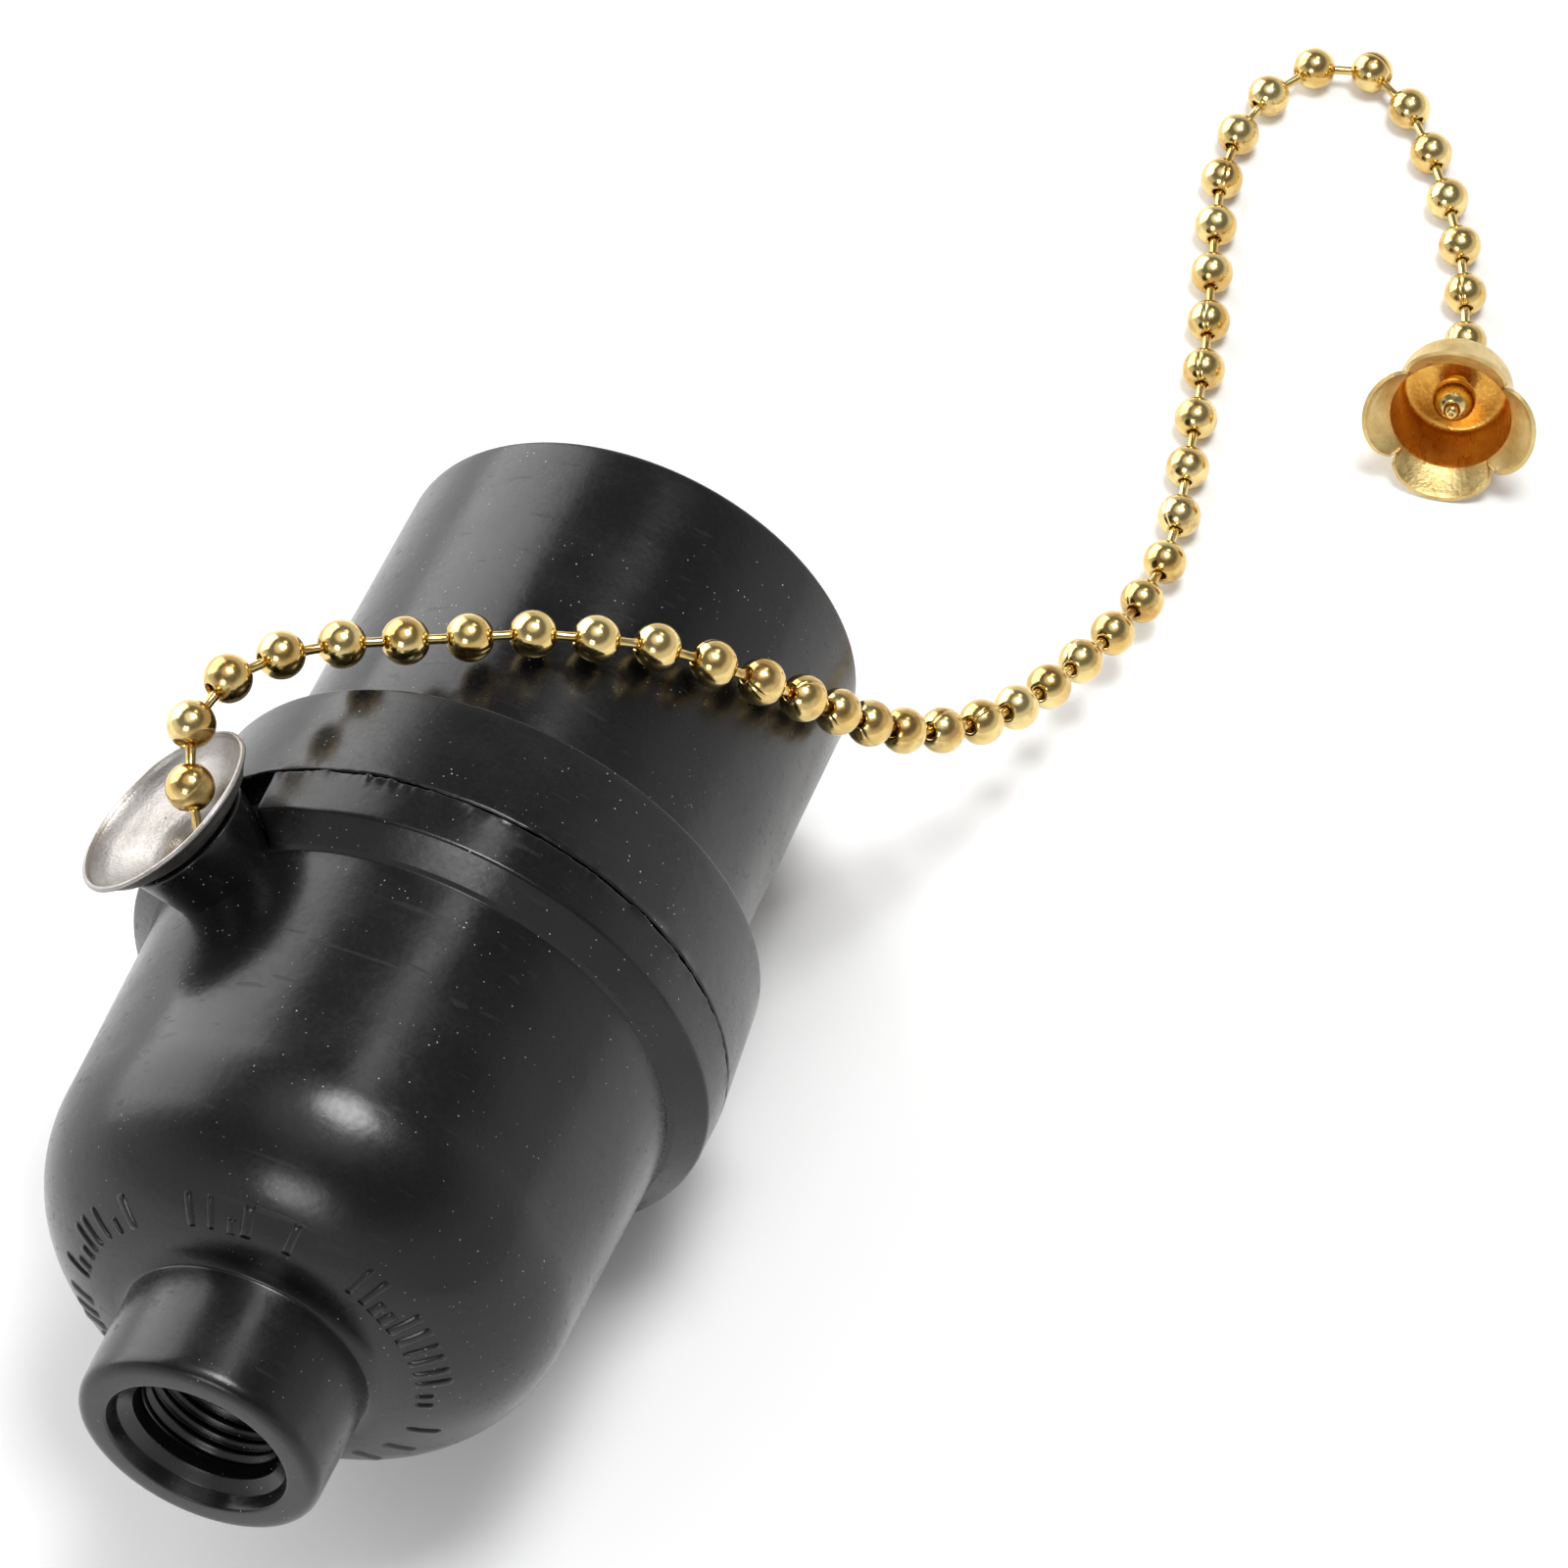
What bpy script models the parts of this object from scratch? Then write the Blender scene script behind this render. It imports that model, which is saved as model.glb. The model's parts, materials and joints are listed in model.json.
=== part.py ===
"""Pull-chain lampholder: a phenolic lamp socket with a pull-chain switch, lying on its side.

Units are metres, +Z is up and Z = 0 is the surface that the socket lies on.
The socket's own axis runs along +Y, from the threaded neck to the open rim.
The pieces of the socket are modelled in the socket's own frame, in which z runs along the
axis from the neck's end face to the rim, and x points out along the chain guide.
"""

import math

import bmesh
import bpy
from mathutils import Vector

MM = 0.001
GAP = 0.3 * MM

# Overall sizes along the socket's axis
SOCKET_LENGTH = 76.2 * MM
JOINT_Z = 40.3 * MM
SEGMENTS = 48

# Neck, with its bore for a 1/8 IP lamp pipe
NECK_R = 8.5 * MM
NECK_LENGTH = 8.45 * MM
NECK_ROOT_R = 9.2 * MM
BORE_R = 4.9 * MM
BORE_MOUTH_R = 6.3 * MM

# Cap: dome, body and flange
DOME_CORNER_R = 10.8 * MM
BODY_R = 18.4 * MM
BODY_TOP_R = 18.9 * MM
CAP_CAVITY_R = 15.6 * MM
CAP_FLOOR_Z = 11.4 * MM
FLANGE_BOTTOM_Z = 37.4 * MM
FLANGE_R = 21.2 * MM
SPIGOT_R = 17.0 * MM
SPIGOT_TOP_Z = 45.0 * MM
NOTCH_HALF_WIDTH = 4.5 * MM

# Outer shell: ring and sleeve
RING_BASE_R = 21.2 * MM
RING_TOP_R = 20.4 * MM
RING_TOP_Z = 48.7 * MM
SHELL_R = 17.3 * MM
SHELL_BORE_R = 14.9 * MM

# Chain guide and its flared dish
GUIDE_Z = 34.4 * MM
GUIDE_END_X = 21.9 * MM
GUIDE_TIP_R = 4.4 * MM
GUIDE_ROOT_R = 3.5 * MM
DISH_R = 6.9 * MM
DISH_X = 24.5 * MM

# Bead chain: 3.2 mm beads at a pitch of 4.35 mm
BEAD_R = 1.6 * MM
BEAD_PITCH = 4.35 * MM
LINK_R = 0.45 * MM
CHAIN_START_X = 21.4 * MM

# Mechanism: a chain drum and a rotor on one axle across the socket
DRUM_PITCH_R = 5.1 * MM
AXLE_Z = GUIDE_Z - DRUM_PITCH_R
AXLE_R = 1.0 * MM
CHEEK_R = 14.5 * MM
CHEEK_INNER_Y = 10.6 * MM
CHEEK_BOTTOM_Z = 20.5 * MM
DECK_Z = 43.4 * MM
DECK_THICKNESS = 4.2 * MM
PILLAR_Y = 12.2 * MM
ASSEMBLY_SCREW_X = 4.5 * MM
TERMINAL_X = 3.2 * MM
RIVET_X = 5.0 * MM
RIVET_Y = 8.8 * MM
RIVET_HOLE_R = 1.2 * MM
CONTACT_RIVET_X = -6.0 * MM

# Lamp contacts: medium screw base, 26 mm, 7 threads to the inch
SCREW_SHELL_R = 13.7 * MM
SCREW_THREAD_PITCH = 3.63 * MM
SCREW_THREAD_DEPTH = 0.6 * MM
SCREW_SHELL_BASE_Z = 47.9 * MM

# Bell at the chain's end
BELL_CROWN_Z = 6.35 * MM
BELL_CROWN_R = 4.3 * MM
BELL_MOUTH_Z = 11.3 * MM
BELL_MOUTH_R = 4.95 * MM
BELL_PETAL_Z = 12.4 * MM
BELL_PETAL_R = 6.55 * MM
BELL_WALL = 0.45 * MM
BELL_HEADING = math.radians(-81.0)

# How the socket lies: it rests on the tapered side of its ring
LIE_TILT = math.atan2(RING_BASE_R - RING_TOP_R, RING_TOP_Z - JOINT_Z - GAP / 2)
GUIDE_FROM_UPRIGHT = math.radians(43.2)
FACET_IN = math.cos(math.pi / SEGMENTS)

# The free chain's route, in millimetres, from the guide's dish over the sleeve to the bell
CHAIN_ROUTE = [
    (-14.35, -2.62, 37.17), (-15.0, -2.2, 38.2), (-15.7, 0.1, 39.8), (-17.0, 3.3, 41.2),
    (-16.3, 7.4, 41.4), (-14.0, 11.2, 40.5), (-10.6, 14.1, 39.7), (-7.0, 16.1, 39.2),
    (-3.1, 18.0, 39.0), (0.8, 20.0, 38.7), (4.8, 21.6, 38.0), (8.6, 23.4, 36.5),
    (12.2, 24.8, 34.3), (15.2, 26.5, 31.3), (17.8, 28.6, 27.6), (19.8, 31.1, 23.4),
    (21.8, 33.9, 19.2), (24.1, 37.5, 15.4), (26.4, 42.0, 12.0), (28.1, 47.4, 8.7),
    (29.6, 53.3, 6.0), (31.0, 59.2, 3.9), (31.7, 64.7, 2.5), (31.4, 70.2, 1.9),
    (30.4, 75.7, 1.7), (28.2, 86.7, 1.7), (25.3, 97.5, 1.7), (23.7, 105.0, 1.7),
    (24.1, 111.6, 1.7), (27.0, 117.0, 1.7), (31.0, 118.5, 1.7), (35.1, 116.2, 1.7),
    (39.2, 111.0, 1.7), (43.1, 104.4, 1.7), (45.2, 99.4, 1.7), (46.6, 94.9, 1.7),
]
CHAIN_STEP = 7.0 * MM


def material(name, colour, roughness, metallic=0.0):
    mat = bpy.data.materials.new(name)
    mat.use_nodes = True
    shader = mat.node_tree.nodes["Principled BSDF"]
    shader.inputs["Base Color"].default_value = (*colour, 1.0)
    shader.inputs["Roughness"].default_value = roughness
    shader.inputs["Metallic"].default_value = metallic
    return mat


def empty(name, location, rotation=(0.0, 0.0, 0.0), parent=None):
    frame = bpy.data.objects.new(name, None)
    bpy.context.scene.collection.objects.link(frame)
    frame.location = location
    frame.rotation_euler = rotation
    frame.parent = parent
    return frame


def place(name, bm, mat, parent, location=(0.0, 0.0, 0.0)):
    """Turn a bmesh into a named, smooth-shaded object under its parent."""
    bmesh.ops.recalc_face_normals(bm, faces=bm.faces)
    mesh = bpy.data.meshes.new(name)
    bm.to_mesh(mesh)
    bm.free()
    mesh.shade_smooth()
    mesh.set_sharp_from_angle(angle=math.radians(35.0))
    mesh.materials.append(mat)
    obj = bpy.data.objects.new(name, mesh)
    bpy.context.scene.collection.objects.link(obj)
    obj.parent = parent
    obj.location = location
    return obj


def arc(centre_r, centre_z, radius, start, end, steps):
    """Points (r, z) on an arc, its angles in degrees from the +r direction."""
    points = []
    for i in range(steps + 1):
        angle = math.radians(start + (end - start) * i / steps)
        points.append((centre_r + radius * math.cos(angle), centre_z + radius * math.sin(angle)))
    return points


def turned(outline, segments=24, closed=True, start=0.0, swell=None):
    """A solid of revolution about z. A closed outline makes a ring; an open one ends on the axis.

    swell(angle, z) scales the radius round the circle, for forms that aren't quite round.
    """
    bm = bmesh.new()
    rings = []
    for r, z in outline:
        if r == 0.0:
            rings.append([bm.verts.new((0.0, 0.0, z))])
            continue
        ring = []
        for i in range(segments):
            angle = start + 2.0 * math.pi * i / segments
            reach = r * swell(angle, z) if swell else r
            ring.append(bm.verts.new((reach * math.cos(angle), reach * math.sin(angle), z)))
        rings.append(ring)
    pairs = list(zip(rings, rings[1:]))
    if closed:
        pairs.append((rings[-1], rings[0]))
    for lower, upper in pairs:
        for i in range(segments):
            j = (i + 1) % segments
            corners = [lower[i % len(lower)], lower[j % len(lower)]]
            corners += [upper[j % len(upper)], upper[i % len(upper)]]
            bm.faces.new(list(dict.fromkeys(corners)))
    return bm


def extruded(outline, bottom, top):
    """A flat outline of (x, y) points raised from z = bottom to z = top."""
    bm = bmesh.new()
    low = [bm.verts.new((x, y, bottom)) for x, y in outline]
    high = [bm.verts.new((x, y, top)) for x, y in outline]
    bm.faces.new(low[::-1])
    bm.faces.new(high)
    for i in range(len(outline)):
        j = (i + 1) % len(outline)
        bm.faces.new((low[i], low[j], high[j], high[i]))
    return bm


def box(low, high):
    corners = [(low[0], low[1]), (high[0], low[1]), (high[0], high[1]), (low[0], high[1])]
    return extruded(corners, low[2], high[2])


def rod(radius, bottom, top, segments=16):
    angles = [2.0 * math.pi * (i + 0.5) / segments for i in range(segments)]
    return extruded([(radius * math.cos(a), radius * math.sin(a)) for a in angles], bottom, top)


def cut(target, cutter_mesh, label, parent=None, location=(0.0, 0.0, 0.0), rotation=(0.0, 0.0, 0.0)):
    """Take a cutter's volume out of the target with an exact Boolean."""
    cutter = place(f"{target.name}_{label}_cut", cutter_mesh, target.data.materials[0], parent)
    cutter.location = location
    cutter.rotation_euler = rotation
    cutter.hide_render = True
    cutter.display_type = "WIRE"
    modifier = target.modifiers.new(label, "BOOLEAN")
    modifier.operation = "DIFFERENCE"
    modifier.solver = "EXACT"
    modifier.object = cutter


def make_materials():
    return {
        "phenolic": material("black_phenolic", (0.012, 0.012, 0.013), 0.38),
        "insulator": material("brown_phenolic", (0.075, 0.035, 0.02), 0.5),
        "nylon": material("white_nylon", (0.75, 0.73, 0.66), 0.45),
        "brass": material("brass", (0.78, 0.56, 0.2), 0.2, 1.0),
        "aluminium": material("satin_aluminium", (0.72, 0.72, 0.73), 0.35, 1.0),
        "steel": material("zinc_plated_steel", (0.55, 0.56, 0.58), 0.35, 1.0),
        "bronze": material("spring_bronze", (0.62, 0.36, 0.16), 0.3, 1.0),
    }


def make_frames():
    """The socket's own frame, and the frames of its chain guide and drum axle within it."""
    axis_drop = math.sin(LIE_TILT) * (JOINT_Z + GAP / 2 - SOCKET_LENGTH / 2)
    height = axis_drop + math.cos(LIE_TILT) * RING_BASE_R * FACET_IN
    guide_side = math.sin(GUIDE_FROM_UPRIGHT)
    dish_reach = DISH_X * guide_side + DISH_R * math.cos(GUIDE_FROM_UPRIGHT)
    rise = SOCKET_LENGTH / 2 * math.cos(LIE_TILT)
    rim_reach = rise + (SHELL_R - 0.5 * MM) * math.sin(LIE_TILT)
    neck_reach = rise + (NECK_R - 0.9 * MM) * math.sin(LIE_TILT)
    middle = Vector(((dish_reach - RING_BASE_R) / 2, (neck_reach - rim_reach) / 2, height))
    back = Vector((0.0, -math.cos(LIE_TILT), math.sin(LIE_TILT)))
    neck_end = middle + back * SOCKET_LENGTH / 2
    lie = empty("lie", neck_end, (-math.pi / 2 - LIE_TILT, 0.0, 0.0))
    socket = empty("socket_axis", (0.0, 0.0, 0.0), (0.0, 0.0, -math.pi / 2 - GUIDE_FROM_UPRIGHT), lie)
    guide = empty("guide_axis", (0.0, 0.0, GUIDE_Z), (0.0, math.pi / 2, 0.0), socket)
    axle = empty("axle_axis", (0.0, 0.0, AXLE_Z), (-math.pi / 2, 0.0, 0.0), socket)
    return socket, guide, axle


def facet_start():
    """The turning angle that puts one flat facet of the ring straight down."""
    down = GUIDE_FROM_UPRIGHT + math.pi
    return down + math.pi / SEGMENTS


def make_cap(mats, socket):
    corner_r = BODY_R - DOME_CORNER_R
    reach = math.degrees(math.acos((NECK_ROOT_R - corner_r) / DOME_CORNER_R))
    corner_z = NECK_LENGTH + DOME_CORNER_R * math.sin(math.radians(reach))
    inner_r = CAP_CAVITY_R - corner_r
    outline = [(BORE_MOUTH_R, 0.0)]
    outline += arc(NECK_R - 0.9 * MM, 0.9 * MM, 0.9 * MM, -90.0, 0.0, 3)
    outline += [(NECK_R + 0.05 * MM, NECK_LENGTH - 0.9 * MM), (NECK_R + 0.25 * MM, NECK_LENGTH - 0.3 * MM)]
    outline += arc(corner_r, corner_z, DOME_CORNER_R, -reach, 0.0, 7)
    outline += [(BODY_TOP_R, FLANGE_BOTTOM_Z - 2.1 * MM), (FLANGE_R - 0.4 * MM, FLANGE_BOTTOM_Z - 0.7 * MM)]
    outline += [(FLANGE_R, FLANGE_BOTTOM_Z - 0.2 * MM)]
    outline += [(FLANGE_R, JOINT_Z - GAP / 2), (SPIGOT_R, JOINT_Z - GAP / 2), (SPIGOT_R, SPIGOT_TOP_Z)]
    outline += [(CAP_CAVITY_R, SPIGOT_TOP_Z)]
    outline += arc(corner_r, CAP_FLOOR_Z + inner_r, inner_r, 0.0, -90.0, 5)
    outline += [(BORE_R, CAP_FLOOR_Z), (BORE_R, 2.6 * MM), (BORE_R + 0.7 * MM, 2.2 * MM)]
    outline += [(BORE_R + 0.8 * MM, 1.2 * MM)]
    cap = place("cap", turned(outline, SEGMENTS, start=facet_start()), mats["phenolic"], socket)
    hole = rod(GUIDE_ROOT_R + 0.5 * MM, 12.0 * MM, 23.0 * MM, 24)
    cut(cap, hole, "guide_hole", socket, (0.0, 0.0, GUIDE_Z), (0.0, math.pi / 2, 0.0))
    notch_low = (BODY_TOP_R + 0.1 * MM, -NOTCH_HALF_WIDTH, GUIDE_Z)
    notch_high = (FLANGE_R + 2.0 * MM, NOTCH_HALF_WIDTH, JOINT_Z + 1.0 * MM)
    cut(cap, box(notch_low, notch_high), "flange_notch", socket)


def make_outer_shell(mats, socket):
    base = JOINT_Z + GAP / 2
    spigot_room = SPIGOT_R + GAP
    outline = [(spigot_room, base), (RING_BASE_R, base), (RING_TOP_R, RING_TOP_Z)]
    outline += [(SHELL_R + 0.5 * MM, RING_TOP_Z + 0.1 * MM), (SHELL_R, RING_TOP_Z + 0.8 * MM)]
    outline += [(SHELL_R, SOCKET_LENGTH - 0.5 * MM), (SHELL_R - 0.5 * MM, SOCKET_LENGTH)]
    outline += [(SHELL_BORE_R + 0.4 * MM, SOCKET_LENGTH), (SHELL_BORE_R, SOCKET_LENGTH - 0.4 * MM)]
    outline += [(SHELL_BORE_R, SPIGOT_TOP_Z + GAP), (spigot_room, SPIGOT_TOP_Z + GAP)]
    place("outer_shell", turned(outline, SEGMENTS, start=facet_start()), mats["phenolic"], socket)


def make_chain_guide(mats, guide):
    """The tapered black neck that leads the chain out, held by a collar inside the cap's wall."""
    outline = [(2.1 * MM, 12.6 * MM), (4.8 * MM, 12.6 * MM), (4.8 * MM, 14.0 * MM)]
    outline += [(GUIDE_ROOT_R, 14.0 * MM), (GUIDE_ROOT_R, 17.4 * MM), (GUIDE_TIP_R, GUIDE_END_X - 0.4 * MM)]
    outline += [(GUIDE_TIP_R - 0.3 * MM, GUIDE_END_X - 0.1 * MM), (3.8 * MM, GUIDE_END_X - 0.2 * MM)]
    outline += [(3.0 * MM, 20.9 * MM), (2.7 * MM, 20.4 * MM)]
    outline += [(2.7 * MM, 17.6 * MM), (2.1 * MM, 17.6 * MM)]
    place("chain_guide", turned(outline, 24), mats["phenolic"], guide)


def make_guide_dish(mats, guide):
    """The flared aluminium eyelet that the chain runs over."""
    bowl = [(2.0, 20.6), (2.3, 21.5), (3.1, 22.2), (4.4, 22.8), (5.7, 23.5), (6.5, 24.1), (6.8, 24.5)]
    back = [(6.9, 24.3), (6.75, 23.9), (5.9, 23.1), (4.6, 22.4), (3.4, 21.85), (2.65, 21.2), (2.4, 20.6)]
    outline = [(2.0, 18.0)] + bowl + back + [(2.4, 18.0)]
    outline = [(r * MM, x * MM) for r, x in outline]
    place("guide_dish", turned(outline, 32), mats["aluminium"], guide)


def bead_string(first, count, start, end):
    """The outline of a straight run of beads joined by thin links."""
    outline = [(0.0, start), (LINK_R, start)]
    side = math.degrees(math.asin(LINK_R / BEAD_R))
    for i in range(count):
        outline += arc(0.0, first + i * BEAD_PITCH, BEAD_R, -90.0 + side, 90.0 - side, 5)
    return outline + [(LINK_R, end), (0.0, end)]


def make_inner_chain(mats, guide):
    """The chain inside the guide, which the pull draws out of it and over the drum."""
    first = CHAIN_START_X - 4.75 * MM - 2 * BEAD_PITCH
    outline = bead_string(first, 3, first - 2.4 * MM, CHAIN_START_X - GAP)
    place("inner_chain", turned(outline, 12, closed=False), mats["brass"], guide)


def make_screw_shell(mats, socket):
    """The thin threaded lamp shell, with its floor riveted to the deck."""
    wall = 0.4 * MM
    start = SCREW_SHELL_BASE_Z + 3.0 * MM
    outer = []
    for i in range(21):
        z = start + SCREW_THREAD_PITCH * i / 4
        crest = (1.0 - math.cos(2.0 * math.pi * i / 4)) / 2.0
        outer.append((SCREW_SHELL_R - SCREW_THREAD_DEPTH * crest, z))
    outer.append((SCREW_SHELL_R, start + SCREW_THREAD_PITCH * 5 + 2.5 * MM))
    inner = [(r - wall, z) for r, z in outer]
    floor = [(8.4 * MM, SCREW_SHELL_BASE_Z), (SCREW_SHELL_R, SCREW_SHELL_BASE_Z)]
    inner_floor = [(SCREW_SHELL_R - wall, SCREW_SHELL_BASE_Z + wall), (8.4 * MM, SCREW_SHELL_BASE_Z + wall)]
    outline = floor + outer + inner[::-1] + inner_floor
    shell = place("screw_shell", turned(outline, 32), mats["aluminium"], socket)
    for side in (-1, 1):
        hole = rod(RIVET_HOLE_R, SCREW_SHELL_BASE_Z - 1.0 * MM, SCREW_SHELL_BASE_Z + 1.0 * MM, 12)
        cut(shell, hole, f"rivet_hole_{side + 2}", socket, (RIVET_X, side * RIVET_Y, 0.0))


def make_deck(mats, socket):
    """The insulating floor between the lamp and the switch."""
    top = DECK_Z + DECK_THICKNESS
    deck = place("deck", rod(CHEEK_R, DECK_Z, top, 40), mats["insulator"], socket)
    rivets = [(RIVET_X, RIVET_Y), (RIVET_X, -RIVET_Y), (CONTACT_RIVET_X, 0.0)]
    for number, (x, y) in enumerate(rivets):
        drill = rod(RIVET_HOLE_R, DECK_Z - 1.0 * MM, top + 1.0 * MM, 12)
        cut(deck, drill, f"rivet_hole_{number + 1}", socket, (x, y, 0.0))
    for side in (-1, 1):
        drill = rod(1.25 * MM, DECK_Z - 1.0 * MM, DECK_Z + 3.0 * MM, 12)
        cut(deck, drill, f"screw_hole_{side + 2}", socket, (side * ASSEMBLY_SCREW_X, side * PILLAR_Y, 0.0))


def make_cheek(name, side, mats, socket):
    """One D-shaped side of the switch body, which carries the axle, a terminal and a long screw."""
    reach = math.acos(CHEEK_INNER_Y / CHEEK_R)
    points = []
    for i in range(13):
        angle = math.pi / 2 - reach + 2.0 * reach * i / 12
        points.append((side * CHEEK_R * math.cos(angle), side * CHEEK_R * math.sin(angle)))
    cheek = place(name, extruded(points, CHEEK_BOTTOM_Z, DECK_Z - GAP), mats["insulator"], socket)
    long_hole = rod(1.25 * MM, CHEEK_BOTTOM_Z - 1.0 * MM, DECK_Z + 1.0 * MM, 12)
    cut(cheek, long_hole, "screw_hole", socket, (side * ASSEMBLY_SCREW_X, side * PILLAR_Y, 0.0))
    short_hole = rod(1.4 * MM, CHEEK_BOTTOM_Z - 1.0 * MM, CHEEK_BOTTOM_Z + 5.0 * MM, 12)
    cut(cheek, short_hole, "terminal_hole", socket, (-side * TERMINAL_X, side * PILLAR_Y, 0.0))
    axle_hole = rod(AXLE_R + GAP, 9.0 * MM, 16.0 * MM, 16)
    turn = (-side * math.pi / 2, 0.0, 0.0)
    cut(cheek, axle_hole, "axle_hole", socket, (0.0, 0.0, AXLE_Z), turn)


def make_screw(name, head_r, shank_r, head_z, seat_z, tip_z, mat, socket, x, y):
    """A slotted screw whose head hangs below its seat."""
    outline = [(0.0, head_z), (head_r - 0.4 * MM, head_z), (head_r, head_z + 0.5 * MM), (head_r, seat_z)]
    outline += [(shank_r, seat_z), (shank_r, tip_z - 0.8 * MM), (0.0, tip_z)]
    screw = place(name, turned(outline, 16, closed=False), mat, socket, (x, y, 0.0))
    reach = head_r + 1.0 * MM
    slot = box((-reach, -0.35 * MM, head_z - 1.0 * MM), (reach, 0.35 * MM, head_z + 0.7 * MM))
    cut(screw, slot, "slot", socket, (x, y, 0.0))


def make_fasteners(mats, socket):
    """Two long screws that clamp the cheeks to the deck, and two terminal screws."""
    for side, metal in ((1, "brass"), (-1, "steel")):
        number = 1 if side > 0 else 2
        x = side * ASSEMBLY_SCREW_X
        make_screw(f"assembly_screw_{number}", 1.9 * MM, 0.95 * MM, 18.6 * MM, 20.2 * MM, 45.9 * MM,
                   mats["steel"], socket, x, side * PILLAR_Y)
        name = "line_terminal_screw" if side > 0 else "neutral_terminal_screw"
        make_screw(name, 2.1 * MM, 1.1 * MM, 17.5 * MM, 19.2 * MM, 24.8 * MM,
                   mats[metal], socket, -side * TERMINAL_X, side * PILLAR_Y)


def make_rivet(name, head_r, tail_z, deck_side_z, head_z, mats, socket, x, y):
    outline = [(0.0, tail_z), (1.5 * MM, tail_z), (1.5 * MM, deck_side_z), (0.85 * MM, deck_side_z)]
    outline += [(0.85 * MM, head_z), (head_r, head_z), (head_r * 0.7, head_z + 0.7 * MM)]
    outline += [(0.0, head_z + 0.8 * MM)]
    place(name, turned(outline, 16, closed=False), mats["brass"], socket, (x, y, 0.0))


def make_rivets(mats, socket):
    floor_top = SCREW_SHELL_BASE_Z + 0.4 * MM
    for side in (-1, 1):
        number = 1 if side > 0 else 2
        make_rivet(f"shell_rivet_{number}", 1.8 * MM, 42.4 * MM, DECK_Z - GAP, floor_top + GAP,
                   mats, socket, RIVET_X, side * RIVET_Y)
    make_rivet("contact_rivet", 1.8 * MM, 41.6 * MM, 42.3 * MM, 48.8 * MM, mats, socket, CONTACT_RIVET_X, 0.0)


def strip_along_x(outline, low_x, high_x):
    """A bent strip: an outline of (y, z) points carried along x."""
    bm = extruded([(y, z) for y, z in outline], low_x, high_x)
    for vert in bm.verts:
        vert.co = Vector((vert.co.z, vert.co.x, vert.co.y))
    return bm


def make_line_terminal(mats, socket):
    """The line plate under one cheek, with its leaf standing beside the rotor."""
    outline = [(13.6, 19.5), (13.6, 20.2), (10.3, 20.2), (10.3, 28.3), (9.9, 28.3), (9.9, 19.5)]
    outline = [(y * MM, z * MM) for y, z in outline]
    strip = strip_along_x(outline, -TERMINAL_X - 2.4 * MM, -TERMINAL_X + 1.8 * MM)
    plate = place("line_terminal", strip, mats["brass"], socket)
    drill = rod(1.4 * MM, 18.0 * MM, 22.0 * MM, 12)
    cut(plate, drill, "hole", socket, (-TERMINAL_X, PILLAR_Y, 0.0))


def make_neutral_terminal(mats, socket):
    """The neutral plate under the other cheek, which rises to the lamp shell's rivet."""
    outline = [(-13.6, 19.5), (-9.9, 19.5), (-9.9, 42.0), (-10.3, 42.0), (-10.3, 20.2), (-13.6, 20.2)]
    outline = [(y * MM, z * MM) for y, z in outline]
    strip = strip_along_x(outline, TERMINAL_X - 1.8 * MM, TERMINAL_X + 2.4 * MM)
    plate = place("neutral_terminal", strip, mats["steel"], socket)
    drill = rod(1.4 * MM, 18.0 * MM, 22.0 * MM, 12)
    cut(plate, drill, "hole", socket, (TERMINAL_X, -PILLAR_Y, 0.0))


def make_lamp_leaf(mats, socket):
    """The strip from the centre contact's rivet down to the rotor."""
    outline = [(-2.0, 42.6), (9.9, 42.6), (9.9, 30.4), (10.3, 30.4), (10.3, 43.0), (-2.0, 43.0)]
    outline = [(y * MM, z * MM) for y, z in outline]
    leaf = place("lamp_leaf", strip_along_x(outline, -8.2 * MM, -5.0 * MM), mats["bronze"], socket)
    drill = rod(RIVET_HOLE_R, 41.0 * MM, 44.5 * MM, 12)
    cut(leaf, drill, "hole", socket, (CONTACT_RIVET_X, 0.0, 0.0))


def make_centre_contact(mats, socket):
    """The sprung tongue that touches the lamp's tip."""
    outline = [(-7.8, 48.0), (-3.9, 48.0), (0.2, 52.0), (3.4, 52.0), (4.2, 51.2), (4.5, 51.5)]
    outline += [(3.6, 52.4), (0.0, 52.4), (-4.1, 48.4), (-7.8, 48.4)]
    bm = strip_along_x([(x * MM, z * MM) for x, z in outline], -2.0 * MM, 2.0 * MM)
    for vert in bm.verts:
        vert.co = Vector((vert.co.y, -vert.co.x, vert.co.z))
    contact = place("centre_contact", bm, mats["bronze"], socket)
    drill = rod(RIVET_HOLE_R, 47.0 * MM, 49.5 * MM, 12)
    cut(contact, drill, "hole", socket, (CONTACT_RIVET_X, 0.0, 0.0))


def make_base_plate(mats, socket):
    """The fibre plate that closes the switch chamber towards the neck."""
    half = 9.5 * MM
    reach = 10.4 * MM
    corner = 3.0 * MM
    points = []
    for x, y, start in ((1, 1, 0.0), (-1, 1, 90.0), (-1, -1, 180.0), (1, -1, 270.0)):
        points += arc(x * (reach - corner), y * (half - corner), corner, start, start + 90.0, 4)
    place("base_plate", extruded(points, CHEEK_BOTTOM_Z, 21.7 * MM), mats["insulator"], socket)


def wheel_outline(radius_at, steps):
    return [(radius_at(i) * math.cos(2 * math.pi * i / steps), radius_at(i) * math.sin(2 * math.pi * i / steps))
            for i in range(steps)]


def make_axle(mats, axle):
    place("axle", rod(AXLE_R, -13.2 * MM, 13.2 * MM, 16), mats["steel"], axle)


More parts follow.
